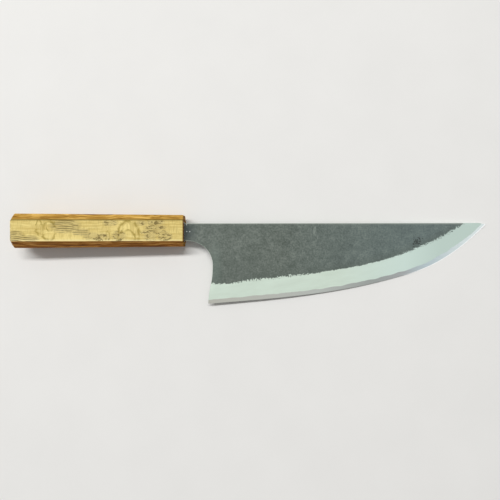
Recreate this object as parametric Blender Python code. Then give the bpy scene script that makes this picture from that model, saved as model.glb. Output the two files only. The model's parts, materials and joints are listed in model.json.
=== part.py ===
"""Kitchen knife with a forged three-layer blade and an eight-sided wooden handle, lying on its side.

The knife is drawn in its own frame. X runs from the handle's front face to the tip, Y runs from the
cutting edge up to the spine, and Z is the blade's thickness, with the middle of the core at zero.
At the end an empty lays the whole knife down as it comes to rest on a table, with +Z up.
"""

import math

import bmesh
import bpy
import numpy as np
from mathutils import Matrix, Vector
from mathutils.geometry import interpolate_bezier

MM = 0.001

# Handle: an eight-sided bar that tapers from the butt to the blade
HANDLE_LENGTH = 123.1 * MM
BUTT_HEIGHT = 24.8 * MM
BUTT_THICKNESS = 20.0 * MM
BUTT_CORNER = 4.7 * MM
BUTT_CHAMFER = 2.2 * MM
FRONT_HEIGHT = 22.7 * MM
FRONT_THICKNESS = 17.5 * MM
FRONT_CORNER = 3.9 * MM
FRONT_CHAMFER = 0.4 * MM
ARRIS_EASE = 0.25 * MM

# Blade seen from its side, with depths measured down from the spine: spine, neck and hollow behind the heel
SPINE_HEIGHT = 5.5 * MM
SPINE_RISE = 0.35 * MM
NECK_HEIGHT = 12.4 * MM
NECK_PULL = 16.3 * MM
CHOIL_REACH = 20.65 * MM
CHOIL_DEPTH = 30.3 * MM
CHOIL_UPPER_PULL = 6.7 * MM
CHOIL_LOWER_PULL = 14.3 * MM
HEEL_LEAN = math.radians(1.0)
HEEL_PULL = 11.8 * MM

# Cutting edge, as two smooth stretches that meet at the belly
HEEL_REACH = 17.4 * MM
HEEL_DEPTH = 58.4 * MM
HEEL_SLOPE = math.radians(5.2)
FLAT_PULL = 31.1 * MM
BELLY_REACH = 150.9 * MM
BELLY_DEPTH = 40.1 * MM
BELLY_SLOPE = math.radians(14.9)
BELLY_BACK_PULL = 51.2 * MM
BELLY_FRONT_PULL = 18.0 * MM
TIP_REACH = 219.4 * MM
TIP_DEPTH = 0.6 * MM
TIP_SLOPE = math.radians(45.3)
TIP_PULL = 42.8 * MM
TIP_CLIP = 6.0 * MM

# Line where the ground bevel starts: from above the heel, in the hollow, to behind the tip, on the spine
BEVEL_ABOVE_HEEL = 14.2 * MM
BEVEL_AHEAD_OF_HEEL = 2.2 * MM
BEVEL_HEEL_SLOPE = math.radians(6.0)
BEVEL_HEEL_PULL = 94.8 * MM
BEVEL_BEHIND_TIP = 15.8 * MM
BEVEL_TIP_SLOPE = math.radians(31.9)
BEVEL_TIP_PULL = 62.6 * MM

# Blade thickness, with the tapers as thickness lost per length. Ahead of the handle the core thins until
# it is drawn out, and from there to the tip it keeps its thickness.
SPINE_THICKNESS = 4.0 * MM
TAPER_TO_TIP = 0.0100
TAPER_TO_EDGE = 0.0230
TAPER_TO_BUTT = 0.0140
EDGE_THICKNESS = 0.10 * MM
CORE_THICKNESS = 0.68 * MM
CORE_DRAWN_REACH = 120.0 * MM
CORE_DRAWN_THICKNESS = 0.49 * MM
WELD_LINE = 0.02 * MM
SPINE_EASE = 0.35 * MM

# Tang inside the handle
SHOULDER_DEPTH = 3.0 * MM
SHOULDER_STEP = 1.2 * MM
TANG_LENGTH = 96.0 * MM
TANG_END_HEIGHT = 5.0 * MM

# Resin round the tang
SEAT_GAP = 0.3 * MM
RESIN_WALL = 0.9 * MM
RESIN_RECESS = 0.3 * MM
SLOT_ROUND = 1.2 * MM

# How finely curves are cut, and how far a cutter reaches past what it cuts
EDGE_STEPS = 22
CHOIL_STEPS = 9
BEVEL_STATIONS = 60
ROUND_STEPS = 3
OVERCUT = 6.0 * MM

# Densities in kilograms per cubic metre, which settle how the knife lies
STEEL_DENSITY = 7850.0
OAK_DENSITY = 700.0
RESIN_DENSITY = 1150.0


def clear_scene():
    """Remove every object that a new file starts with."""
    for thing in list(bpy.data.objects):
        bpy.data.objects.remove(thing, do_unlink=True)


def make_material(name, colour, metallic, roughness):
    """A plain surface with the piece's colour, metal value and gloss."""
    material = bpy.data.materials.new(name)
    material.use_nodes = True
    shader = material.node_tree.nodes["Principled BSDF"]
    shader.inputs["Base Color"].default_value = (*colour, 1.0)
    shader.inputs["Metallic"].default_value = metallic
    shader.inputs["Roughness"].default_value = roughness
    return material


def make_object(name, shape, parent, material):
    """Turn a bmesh into an object in the knife's frame. Its faces become triangles, which are always flat."""
    bmesh.ops.triangulate(shape, faces=shape.faces)
    bmesh.ops.recalc_face_normals(shape, faces=shape.faces)
    mesh = bpy.data.meshes.new(name)
    shape.to_mesh(mesh)
    shape.free()
    mesh.materials.append(material)
    thing = bpy.data.objects.new(name, mesh)
    bpy.context.scene.collection.objects.link(thing)
    thing.parent = parent
    return thing


def make_cutter(name, shape, parent, material):
    """An object that only shapes others. The faces it cuts take its material."""
    cutter = make_object(name, shape, parent, material)
    cutter.hide_render = True
    cutter.display_type = "WIRE"
    return cutter


def cut(thing, cutter, operation):
    """Shape an object with a cutter."""
    step = thing.modifiers.new(cutter.name, "BOOLEAN")
    step.operation = operation
    step.object = cutter
    step.solver = "EXACT"
    step.material_mode = "TRANSFER"


def loft(rings):
    """Join rings of equally many points into one closed skin with flat ends."""
    shape = bmesh.new()
    rows = [[shape.verts.new(point) for point in ring] for ring in rings]
    for row, following in zip(rows, rows[1:]):
        for i, corner in enumerate(row):
            after = (i + 1) % len(row)
            shape.faces.new((corner, row[after], following[after], following[i]))
    shape.faces.new(reversed(rows[0]))
    shape.faces.new(rows[-1])
    return shape


def below_spine(reach, depth):
    """A point of the side view, by its way ahead of the handle and its depth under the spine's start."""
    return Vector((reach, SPINE_HEIGHT - depth))


def on_spine(reach):
    """A point on the spine, which rises slightly from the handle to where the tip is clipped."""
    return Vector((reach, SPINE_HEIGHT + SPINE_RISE * reach / (TIP_REACH - TIP_CLIP)))


def heading(slope):
    """Direction that climbs towards the tip at a slope."""
    return Vector((math.cos(slope), math.sin(slope)))


def bezier(start, start_pull, end_pull, end, steps):
    """Points along a curve that leaves and arrives along its pulls, both ends included."""
    knots = (start, start + start_pull, end + end_pull, end)
    return [point.to_2d() for point in interpolate_bezier(*(knot.to_3d() for knot in knots), steps + 1)]


def evenly_spaced(points, count):
    """The same line through points that lie an equal way apart along it."""
    way = np.cumsum([0.0] + [(after - before).length for before, after in zip(points, points[1:])])
    marks = np.linspace(0.0, way[-1], count)
    across = np.interp(marks, way, [point.x for point in points])
    up = np.interp(marks, way, [point.y for point in points])
    return [Vector(pair) for pair in zip(across, up)]


def run_past(points, distance):
    """The same line, carried on straight past both of its ends."""
    first = points[0] + (points[0] - points[1]).normalized() * distance
    last = points[-1] + (points[-1] - points[-2]).normalized() * distance
    return [first, *points, last]


def edge_curve():
    """Cutting edge: nearly flat from the heel, then through the belly and up to the tip."""
    heel = below_spine(HEEL_REACH, HEEL_DEPTH)
    belly = below_spine(BELLY_REACH, BELLY_DEPTH)
    tip = below_spine(TIP_REACH, TIP_DEPTH)
    along = heading(BELLY_SLOPE)
    flat = bezier(heel, FLAT_PULL * heading(HEEL_SLOPE), -BELLY_BACK_PULL * along, belly, EDGE_STEPS)
    sweep = bezier(belly, BELLY_FRONT_PULL * along, -TIP_PULL * heading(TIP_SLOPE), tip, EDGE_STEPS)
    return flat + sweep[1:]


def choil_curve():
    """Hollow behind the heel, from the neck's lower side down to the heel's corner."""
    neck = below_spine(0.0, NECK_HEIGHT)
    deepest = below_spine(CHOIL_REACH, CHOIL_DEPTH)
    heel = below_spine(HEEL_REACH, HEEL_DEPTH)
    up = Vector((0.0, 1.0))
    heel_way = heading(math.pi / 2 - HEEL_LEAN)
    upper = bezier(neck, NECK_PULL * heading(0.0), CHOIL_UPPER_PULL * up, deepest, CHOIL_STEPS)
    lower = bezier(deepest, -CHOIL_LOWER_PULL * up, HEEL_PULL * heel_way, heel, CHOIL_STEPS)
    return upper + lower[1:]


def bevel_curve():
    """Line on the blade's face where the ground bevel starts."""
    start = below_spine(HEEL_REACH + BEVEL_AHEAD_OF_HEEL, HEEL_DEPTH - BEVEL_ABOVE_HEEL)
    start_pull = BEVEL_HEEL_PULL * heading(BEVEL_HEEL_SLOPE)
    end_pull = -BEVEL_TIP_PULL * heading(BEVEL_TIP_SLOPE)
    return bezier(start, start_pull, end_pull, on_spine(TIP_REACH - BEVEL_BEHIND_TIP), BEVEL_STATIONS)


def half_thickness(x, y):
    """Half of the forged thickness. It is flat on the blade, and again on the tang behind its shoulder."""
    behind = max(-SHOULDER_DEPTH - x, 0.0)
    ahead = max(x, -SHOULDER_DEPTH)
    lost = TAPER_TO_TIP * ahead + TAPER_TO_EDGE * (SPINE_HEIGHT - y) + TAPER_TO_BUTT * behind
    return (SPINE_THICKNESS - lost) / 2


def tang_heights():
    """Height of the tang at its shoulder and at its end."""
    return NECK_HEIGHT - 2 * SHOULDER_STEP, TANG_END_HEIGHT


def tang_middle():
    """Height in the blade's frame that the neck and the tang are centred on."""
    return SPINE_HEIGHT - NECK_HEIGHT / 2


def blank_outline():
    """Side view of the blank all the way round, and the stretches of it that the smith eases.

    The first and the last three points lie inside the handle. An eased stretch has its first point's number.
    """
    root, end = (height / 2 for height in tang_heights())
    middle = tang_middle()
    above = [Vector((-TANG_LENGTH, middle + end)), Vector((-SHOULDER_DEPTH, middle + root)),
             Vector((-SHOULDER_DEPTH, SPINE_HEIGHT)), on_spine(0.0), on_spine(TIP_REACH - TIP_CLIP)]
    edge = edge_curve()[::-1]
    hollow = choil_curve()[::-1][1:]
    below = [Vector((-SHOULDER_DEPTH, SPINE_HEIGHT - NECK_HEIGHT)), Vector((-SHOULDER_DEPTH, middle - root)),
             Vector((-TANG_LENGTH, middle - end))]
    heel = len(above) + len(edge) - 1
    return above + edge + hollow + below, [2, 3, *range(heel, heel + len(hollow) + 1)]


def forged_blank():
    """The whole billet before grinding: the side view drawn out to its tapering thickness."""
    shape = bmesh.new()
    outline, eased = blank_outline()
    sides = [[shape.verts.new((*point, way * half_thickness(*point))) for point in outline]
             for way in (-1, 1)]
    for side in sides:
        shape.faces.new(side[3:-3])
        shape.faces.new(side[1:4] + side[-4:-1])
        shape.faces.new(side[:2] + side[-2:])
    lower, upper = sides
    for i in range(len(outline)):
        shape.faces.new((lower[i - 1], lower[i], upper[i], upper[i - 1]))
    bmesh.ops.recalc_face_normals(shape, faces=shape.faces)
    arrises = [shape.edges.get((side[i], side[i + 1])) for side in sides for i in eased]
    bmesh.ops.bevel(shape, geom=arrises, offset=SPINE_EASE, offset_type="OFFSET", segments=1,
                    profile=0.5, affect="EDGES")
    return shape


def grinding_wheel(side):
    """What grinding takes off one side: all outside the straight lines from the bevel line to the edge."""
    bevel = evenly_spaced(run_past(bevel_curve(), OVERCUT), BEVEL_STATIONS)
    edge = evenly_spaced(run_past(edge_curve(), OVERCUT), BEVEL_STATIONS)
    rings = []
    for high, low in zip(bevel, edge):
        top = Vector((*high, half_thickness(*high)))
        bottom = Vector((*low, EDGE_THICKNESS / 2))
        reach = (top - bottom).normalized() * OVERCUT
        inner = (top + reach, bottom - reach)
        outer = (Vector((*inner[1].xy, OVERCUT)), Vector((*inner[0].xy, OVERCUT)))
        rings.append([Vector((*point.xy, side * point.z)) for point in (*inner, *outer)])
    return loft(rings)


def slab(low, high):
    """A plate that takes in the whole side view. Its two levels of Z are functions of X, in straight runs."""
    stations = (-TANG_LENGTH - OVERCUT, 0.0, CORE_DRAWN_REACH, TIP_REACH + OVERCUT)
    bottom, top = SPINE_HEIGHT - HEEL_DEPTH - OVERCUT, SPINE_HEIGHT + OVERCUT
    return loft([[(x, bottom, low(x)), (x, top, low(x)), (x, top, high(x)), (x, bottom, high(x))]
                 for x in stations])


def core_half(x):
    """Half of the core's thickness, which the forging has drawn out towards the tip."""
    drawn = min(max(x / CORE_DRAWN_REACH, 0.0), 1.0)
    return (CORE_THICKNESS + drawn * (CORE_DRAWN_THICKNESS - CORE_THICKNESS)) / 2


def clad_start(x):
    """Level at which the cladding starts, just off the core."""
    return core_half(x) + WELD_LINE


def past_the_face(x):
    """A level that lies outside the blade all along it."""
    return SPINE_THICKNESS


def opposite(level):
    """The same level on the other side of the blade."""
    return lambda x: -level(x)


def section(x, height, thickness, corner):
    """An upright rectangle with rounded corners, centred on the tang."""
    points = []
    for quarter, (out, up) in enumerate(((1, 1), (-1, 1), (-1, -1), (1, -1))):
        for i in range(ROUND_STEPS + 1):
            angle = math.pi / 2 * (quarter + i / ROUND_STEPS)
            z = out * (thickness / 2 - corner) + corner * math.cos(angle)
            y = tang_middle() + up * (height / 2 - corner) + corner * math.sin(angle)
            points.append(Vector((x, y, z)))
    return points


def round_the_tang(front, margin, corner):
    """A bar larger than the neck and the tang by a margin all round, which slopes in at the shoulder."""
    shoulder = -SHOULDER_DEPTH - margin
    end = -TANG_LENGTH - margin
    root_height, end_height = tang_heights()
    neck_thickness = 2 * half_thickness(-SHOULDER_DEPTH, SPINE_HEIGHT)
    end_thickness = 2 * half_thickness(-TANG_LENGTH, tang_middle() + end_height / 2)
    stations = ((front, NECK_HEIGHT, neck_thickness), (shoulder, NECK_HEIGHT, neck_thickness),
                (shoulder - SHOULDER_STEP, root_height, neck_thickness), (end, end_height, end_thickness))
    return loft([section(x, height + 2 * margin, thickness + 2 * margin, corner)
                 for x, height, thickness in stations])


def octagon(x, inset):
    """Eight corners of the handle's section, drawn in by an inset on every side."""
    run = -x / HANDLE_LENGTH
    up = (FRONT_HEIGHT + run * (BUTT_HEIGHT - FRONT_HEIGHT)) / 2 - inset
    out = (FRONT_THICKNESS + run * (BUTT_THICKNESS - FRONT_THICKNESS)) / 2 - inset
    corner = FRONT_CORNER + run * (BUTT_CORNER - FRONT_CORNER) - inset * (2 - math.sqrt(2))
    quarter = [(up - corner, out), (up, out - corner)]
    half = quarter + [(y, -z) for y, z in reversed(quarter)]
    return [Vector((x, y, z)) for y, z in half + [(-y, -z) for y, z in half]]


def handle_bar():
    """The handle's outside: a tapering octagon, chamfered at both ends, with every arris softened."""
    back = -HANDLE_LENGTH
    stations = ((back, BUTT_CHAMFER), (back + BUTT_CHAMFER, 0.0), (-FRONT_CHAMFER, 0.0), (0.0, FRONT_CHAMFER))
    shape = loft([octagon(x, inset) for x, inset in stations])
    bmesh.ops.recalc_face_normals(shape, faces=shape.faces)
    bmesh.ops.bevel(shape, geom=shape.edges[:], offset=ARRIS_EASE, offset_type="OFFSET", segments=2,
                    profile=0.5, affect="EDGES")
    return shape


def build_layer(name, low, high, wheels, frame, material, inside):
    """One layer of the blade: the ground blank between two levels of Z, which are functions of X."""
    layer = make_object(name, forged_blank(), frame, material)
    cut(layer, make_cutter(name + "_slab", slab(low, high), frame, inside), "INTERSECT")
    for wheel in wheels:
        cut(layer, wheel, "DIFFERENCE")
    return layer


def build_blade(frame):
    """Hard core between two layers of soft iron, ground from both sides until the core shows at the edge."""
    scale = make_material("forge_scale_on_iron", (0.125, 0.160, 0.145), 0.6, 0.55)
    ground = make_material("ground_iron", (0.55, 0.68, 0.58), 0.9, 0.35)
    steel = make_material("core_steel", (0.42, 0.50, 0.46), 1.0, 0.30)
    upper_wheel = make_cutter("upper_grinding", grinding_wheel(1), frame, ground)
    lower_wheel = make_cutter("lower_grinding", grinding_wheel(-1), frame, ground)
    return [
        build_layer("core_steel", opposite(core_half), core_half, (upper_wheel, lower_wheel), frame, steel, steel),
        build_layer("cladding_upper", clad_start, past_the_face, (upper_wheel,), frame, scale, ground),
        build_layer("cladding_lower", opposite(past_the_face), opposite(clad_start), (lower_wheel,), frame, scale,
                    ground),
    ]


def build_handle(frame):
    """Oak octagon with a slot that follows the tang."""
    oak = make_material("quartersawn_oak", (0.60, 0.42, 0.17), 0.0, 0.45)
    handle = make_object("handle", handle_bar(), frame, oak)
    slot = round_the_tang(OVERCUT, RESIN_WALL + 2 * SEAT_GAP, SLOT_ROUND)
    cut(handle, make_cutter("tang_slot", slot, frame, oak), "DIFFERENCE")
    return handle


def build_tang_bed(frame):
    """Hard resin that fills the slot round the tang, open at the handle's mouth."""
    resin = make_material("clear_resin", (0.30, 0.34, 0.33), 0.0, 0.25)
    filling = round_the_tang(-RESIN_RECESS, RESIN_WALL + SEAT_GAP, SLOT_ROUND - SEAT_GAP)
    bed = make_object("tang_bed", filling, frame, resin)
    pocket = round_the_tang(OVERCUT, SEAT_GAP, SEAT_GAP)
    cut(bed, make_cutter("tang_pocket", pocket, frame, resin), "DIFFERENCE")
    return bed


def weigh(thing, density, depsgraph):
    """Mass of a closed shape, its first moment and its corners, from the pyramids under its triangles."""
    shape = bmesh.new()
    shape.from_object(thing, depsgraph)
    bmesh.ops.triangulate(shape, faces=shape.faces)
    mass = 0.0
    moment = Vector()
    for face in shape.faces:
        a, b, c = (corner.co for corner in face.verts)
        share = density * a.dot(b.cross(c)) / 6
        mass += share
        moment += share * (a + b + c) / 4
    corners = [corner.co.copy() for corner in shape.verts]
    shape.free()
    return mass, moment, corners


def stands_over(centre, face):
    """Whether the centre of mass lies straight above a triangle of the hull."""
    corners = [corner.co for corner in face.verts]
    return all((after - before).cross(centre - before).dot(face.normal) >= 0
               for before, after in zip(corners, corners[1:] + corners[:1]))


def lay_down(frame, pieces):
    """Turn the knife onto the face of its hull that it rests on, lower cladding down, and onto Z = 0."""
    bpy.context.view_layer.update()
    depsgraph = bpy.context.evaluated_depsgraph_get()
    weighed = [weigh(thing, density, depsgraph) for thing, density in pieces]
    mass = sum(part[0] for part in weighed)
    centre = sum((part[1] for part in weighed), Vector()) / mass
    corners = [corner for part in weighed for corner in part[2]]
    hull = bmesh.new()
    for corner in corners:
        hull.verts.new(corner)
    bmesh.ops.convex_hull(hull, input=hull.verts)
    bmesh.ops.recalc_face_normals(hull, faces=hull.faces)
    bmesh.ops.triangulate(hull, faces=hull.faces)
    hull.normal_update()
    steady = [face.normal.copy() for face in hull.faces if stands_over(centre, face)]
    hull.free()
    down = Vector((0.0, 0.0, -1.0))
    turn = max(steady, key=down.dot).rotation_difference(down)
    laid = np.array([turn @ corner for corner in corners])
    low, high = laid.min(axis=0), laid.max(axis=0)
    seat = Vector((-(low[0] + high[0]) / 2, -(low[1] + high[1]) / 2, -low[2]))
    frame.matrix_world = Matrix.Translation(seat) @ turn.to_matrix().to_4x4()
    print(f"mass {mass * 1000:.0f} g, centre {[round(value / MM, 1) for value in centre]} mm, "
          f"tilt {math.degrees(turn.angle):.2f} degrees")


def build_knife():
    """Model every piece in the knife's frame, then lay the knife down."""
    clear_scene()
    frame = bpy.data.objects.new("knife_at_rest", None)
    bpy.context.scene.collection.objects.link(frame)
    pieces = [(layer, STEEL_DENSITY) for layer in build_blade(frame)]
    pieces.append((build_handle(frame), OAK_DENSITY))
    pieces.append((build_tang_bed(frame), RESIN_DENSITY))
    lay_down(frame, pieces)


build_knife()
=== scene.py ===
# %% [markdown]
# A forged kitchen knife, finished in Blender. The knife has a three-layer blade: a thin plate of hard
# steel between two plates of soft iron. The smith leaves the black forge scale on the upper part of the
# faces and grinds only a bevel along the cutting edge, so that the hard core shows there as a grey
# strip. The handle is one piece of oak, planed to eight sides, and hard resin holds the tang in it.
#
# The file works in cells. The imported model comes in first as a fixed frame. Then the stage and the light
# are set, the blade, handle and resin are modelled with the operators that one would use by hand, and at
# the end each piece gets its finish and is tied to the frame.

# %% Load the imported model
import json
import math

import bmesh
import bpy
from mathutils import Matrix, Vector


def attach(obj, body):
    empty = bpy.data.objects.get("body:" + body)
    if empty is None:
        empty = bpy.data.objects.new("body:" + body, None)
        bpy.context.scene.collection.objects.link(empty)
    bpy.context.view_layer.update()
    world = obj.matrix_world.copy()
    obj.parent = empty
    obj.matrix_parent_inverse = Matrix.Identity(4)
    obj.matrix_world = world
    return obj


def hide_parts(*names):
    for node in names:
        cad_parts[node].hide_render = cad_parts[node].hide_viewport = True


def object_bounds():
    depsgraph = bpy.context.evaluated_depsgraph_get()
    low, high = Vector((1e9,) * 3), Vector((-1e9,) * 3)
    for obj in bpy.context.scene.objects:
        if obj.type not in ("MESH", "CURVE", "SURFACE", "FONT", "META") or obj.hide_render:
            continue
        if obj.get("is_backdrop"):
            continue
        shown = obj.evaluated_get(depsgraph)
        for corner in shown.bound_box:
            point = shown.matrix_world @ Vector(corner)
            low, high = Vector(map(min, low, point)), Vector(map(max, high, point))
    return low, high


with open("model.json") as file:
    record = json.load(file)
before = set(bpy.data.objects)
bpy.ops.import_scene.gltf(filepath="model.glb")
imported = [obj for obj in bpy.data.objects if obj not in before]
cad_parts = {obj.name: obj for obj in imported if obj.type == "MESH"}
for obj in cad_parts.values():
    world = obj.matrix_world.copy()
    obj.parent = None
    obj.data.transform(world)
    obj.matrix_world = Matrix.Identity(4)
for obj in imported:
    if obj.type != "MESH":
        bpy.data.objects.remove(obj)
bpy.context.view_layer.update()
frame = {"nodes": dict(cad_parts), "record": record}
print("nodes:", sorted(frame["nodes"]))

# %% [markdown]
# The knife lies on its side, on the front end of the handle and on the cutting edge close to the tip, so
# it is turned a little against the world. Modelling is far easier in the knife's own frame, with X
# running from the handle's mouth to the tip, Y up to the spine and Z out of the side that shows. The
# record's mounts are flat places on the handle whose positions and directions are known, and they give
# that frame back: the butt faces away from the tip, and the two grips face away from each other.

# %% The knife's own frame
MM = 0.001
HANDLE_LENGTH = 123.1 * MM

mounts = {mount["name"]: mount for mount in frame["record"]["mounts"]}
butt_way, upper_way, lower_way = (
    Vector(mounts[name]["axis"]) for name in ("butt", "grip_upper", "grip_lower")
)
along = -butt_way.normalized()
upright = (upper_way - lower_way).cross(along).normalized()
outward = along.cross(upright)
mouth = Vector(mounts["butt"]["pos_m"]) + HANDLE_LENGTH * along
turn = Matrix((along, upright, outward)).transposed()
KNIFE_TO_WORLD = Matrix.Translation(mouth) @ turn.to_4x4()
tilt = math.degrees(outward.angle(Vector((0, 0, 1))))
print("handle mouth in the world, in mm:", [round(value / MM, 2) for value in mouth])
print("tilt of the blade against the table:", round(tilt, 2), "degrees")

# %% [markdown]
# A screen colour such as #C8D8CB is stored with a curve that suits the eye, and a shader wants the plain
# amount of light. One function turns the one into the other, so every colour below can be written as the
# eye would pick it. A second one adds a node, sets it and links it, for every tree in the file. In a Math
# node the operation is a setting like any other, and the three that are used most get a name here. A
# range, which a Map Range node turns into another one, is written as its two ends.

# %% Colours and nodes
SUM = {"operation": "ADD"}
PRODUCT = {"operation": "MULTIPLY"}
GREATER = {"operation": "MAXIMUM"}


def colour(code):
    """Linear colour, with full cover, of a screen colour written as six hex digits."""
    parts = [int(code[i:i + 2], 16) / 255 for i in (0, 2, 4)]
    linear = [part / 12.92 if part <= 0.04045 else ((part + 0.055) / 1.055) ** 2.4 for part in parts]
    return (*linear, 1.0)


def set_stops(steps, stops):
    """Give a colour ramp its stops, each a place from 0 to 1 and a screen colour."""
    while len(steps) < len(stops):
        steps.new(0.5)
    for step, (place, code) in zip(steps, stops):
        step.position = place
        step.color = colour(code)


def add_node(tree, kind, settings=None, links=None):
    """Add a node. A setting is a property, a socket's value, a ramp's stops, or both ends of a range."""
    node = tree.nodes.new("ShaderNode" + kind)
    settings = dict(settings or {})
    for side in ("From", "To"):
        if side in settings:
            settings[side + " Min"], settings[side + " Max"] = settings.pop(side)
    for name, value in settings.items():
        if name == "stops":
            set_stops(node.color_ramp.elements, value)
        elif hasattr(node, name):
            setattr(node, name, value)
    sockets = {}
    for socket in node.inputs:
        if socket.enabled:
            sockets[socket.identifier] = socket
            sockets.setdefault(socket.name, socket)
    for name, value in settings.items():
        if name in sockets:
            sockets[name].default_value = colour(value) if isinstance(value, str) else value
    for name, source in (links or {}).items():
        if isinstance(source, bpy.types.Node):
            source = next(socket for socket in source.outputs if socket.enabled)
        tree.links.new(source, sockets[name])
    return node


print("mid grey on the screen, as an amount of light:", round(colour("808080")[0], 3))

# %% [markdown]
# The photograph looks straight down on the side of the blade, from a third of a metre away. The
# camera therefore hangs on the knife's own Z axis and looks back along it. The width of the picture at
# the blade and that distance give the angle of view, and so the lens.

# %% Camera
CAMERA_ACROSS = 47.7 * MM
CAMERA_UP = -13.8 * MM
CAMERA_DISTANCE = 350.0 * MM
PICTURE_WIDTH = 363.7 * MM
SENSOR_WIDTH = 36.0

bpy.ops.object.select_all(action="DESELECT")
bpy.ops.object.camera_add()
camera = bpy.context.object
camera.name = "camera"
camera.data.sensor_width = SENSOR_WIDTH
camera.data.lens = SENSOR_WIDTH * CAMERA_DISTANCE / PICTURE_WIDTH
camera.matrix_world = KNIFE_TO_WORLD @ Matrix.Translation((CAMERA_ACROSS, CAMERA_UP, CAMERA_DISTANCE))
bpy.context.scene.camera = camera
print("lens:", round(camera.data.lens, 1), "mm")

# %% [markdown]
# Light: one long lamp, high up and parallel to the knife, as a tube under a ceiling hangs. Across the
# knife it is narrow, so the shadow under the handle has a firm lower border. Along the knife it is wide,
# so the shadow fades at both ends.

# %% Lamp
LAMP_WAY = Vector((-0.35, 0.5, 1.0))
LAMP_DISTANCE = 2.4
LAMP_LENGTH = 2.6
LAMP_BREADTH = 0.3
LAMP_POWER = 50.0

bpy.ops.object.light_add(type="AREA")
lamp = bpy.context.object
lamp.name = "ceiling_tube"
lamp.data.shape = "RECTANGLE"
lamp.data.size = LAMP_LENGTH
lamp.data.size_y = LAMP_BREADTH
lamp.data.energy = LAMP_POWER
lamp_way = (turn @ LAMP_WAY).normalized()
lamp_side = lamp_way.cross(along).normalized()
lamp_turn = Matrix((lamp_side.cross(lamp_way), lamp_side, lamp_way)).transposed()
lamp.matrix_world = Matrix.Translation(LAMP_DISTANCE * lamp_way) @ lamp_turn.to_4x4()
print("lamp:", round(lamp.matrix_world.translation.z, 2), "m above the table")

# %% [markdown]
# The rest of the light comes from a plain pale room. Metal shows what it mirrors, so camera, glossy and
# transmitted rays see that room at full white, while it lights dull surfaces only weakly. The Light Path
# node tells the kinds of ray apart.

# %% Room
ROOM_LIGHT = 0.34

world = bpy.data.worlds.new("pale_room")
bpy.context.scene.world = world
world.use_nodes = True
tree = world.node_tree
tree.nodes.clear()
rays = add_node(tree, "LightPath")
seen = rays.outputs["Is Camera Ray"]
for kind in ("Is Glossy Ray", "Is Transmission Ray"):
    seen = add_node(tree, "Math", GREATER, {"Value": seen, "Value_001": rays.outputs[kind]})
strength = add_node(tree, "MapRange", {"To": (ROOM_LIGHT, 1.0)}, {"Value": seen})
room = add_node(tree, "Background", {"Color": "FFFFFF"}, {"Strength": strength})
add_node(tree, "OutputWorld", links={"Surface": room})
bpy.context.scene.view_settings.view_transform = "Standard"
print("light of the room on dull surfaces:", ROOM_LIGHT)

# %% [markdown]
# The floor is the table that the knife lies on, at Z = 0. It is a large sheet of matt paper with a faint
# mottle, so that it stays a plain ground and still takes the knife's shadow.

# %% Floor
FLOOR_WIDTH = 8.0
FLOOR_MOTTLE = 40.0 * MM

bpy.ops.object.select_all(action="DESELECT")
bpy.ops.mesh.primitive_plane_add(size=FLOOR_WIDTH)
floor = bpy.context.object
floor.name = "floor"
paper = bpy.data.materials.new("matt_pale_paper")
paper.use_nodes = True
tree = paper.node_tree
tree.nodes.clear()
spot = add_node(tree, "TexCoord")
mottle = add_node(tree, "TexNoise", {"Scale": 1 / FLOOR_MOTTLE, "Detail": 4.0},
                  {"Vector": spot.outputs["Object"]})
shade = add_node(tree, "Mix", {"data_type": "RGBA", "A": "E4E3E0", "B": "EAE9E6"}, {"Factor": mottle})
matt = add_node(tree, "BsdfPrincipled", {"Roughness": 0.9, "Specular IOR Level": 0.2},
                {"Base Color": shade})
add_node(tree, "OutputMaterial", links={"Surface": matt})
floor.data.materials.append(paper)
floor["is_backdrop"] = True
print("floor:", FLOOR_WIDTH, "m wide")

# %% [markdown]
# The blade starts as lines. A smith thinks of a kitchen knife as a spine, a cutting edge, a hollow
# behind the heel and the line where the grinding starts, and each of these is one or two smooth
# sweeps. Bezier curves say just that: a knot at each end of a sweep, and a handle for the way in which
# the line leaves it and how far it is pulled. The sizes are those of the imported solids.

# %% Lines of the blade
SPINE_HEIGHT = 5.5 * MM
SPINE_RISE = 0.35 * MM
NECK_HEIGHT = 12.4 * MM
NECK_PULL = 16.3 * MM
CHOIL_REACH = 20.65 * MM
CHOIL_DEPTH = 30.3 * MM
CHOIL_UPPER_PULL = 6.7 * MM
CHOIL_LOWER_PULL = 14.3 * MM
HEEL_LEAN = math.radians(1.0)
HEEL_PULL = 11.8 * MM
HEEL_REACH = 17.4 * MM
HEEL_DEPTH = 58.4 * MM
HEEL_SLOPE = math.radians(5.2)
FLAT_PULL = 31.1 * MM
BELLY_REACH = 150.9 * MM
BELLY_DEPTH = 40.1 * MM
BELLY_SLOPE = math.radians(14.9)
BELLY_BACK_PULL = 51.2 * MM
BELLY_FRONT_PULL = 18.0 * MM
TIP_REACH = 219.4 * MM
TIP_DEPTH = 0.6 * MM
TIP_SLOPE = math.radians(45.3)
TIP_PULL = 42.8 * MM
TIP_CLIP = 6.0 * MM


def heading(slope):
    """Direction in the side view that climbs towards the tip at a slope."""
    return Vector((math.cos(slope), math.sin(slope), 0.0))


def below_spine(reach, depth):
    """A point of the side view, by its way ahead of the handle and its depth under the spine's start."""
    return Vector((reach, SPINE_HEIGHT - depth, 0.0))


def on_spine(reach):
    """A point on the spine, which rises slightly towards the tip."""
    return Vector((reach, SPINE_HEIGHT + SPINE_RISE * reach / (TIP_REACH - TIP_CLIP), 0.0))


heel = below_spine(HEEL_REACH, HEEL_DEPTH)
belly = below_spine(BELLY_REACH, BELLY_DEPTH)
tip = below_spine(TIP_REACH, TIP_DEPTH)
hollow = below_spine(CHOIL_REACH, CHOIL_DEPTH)
neck = below_spine(0.0, NECK_HEIGHT)
print("blade height at the heel:", round(HEEL_DEPTH / MM, 1), "mm")

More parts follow.
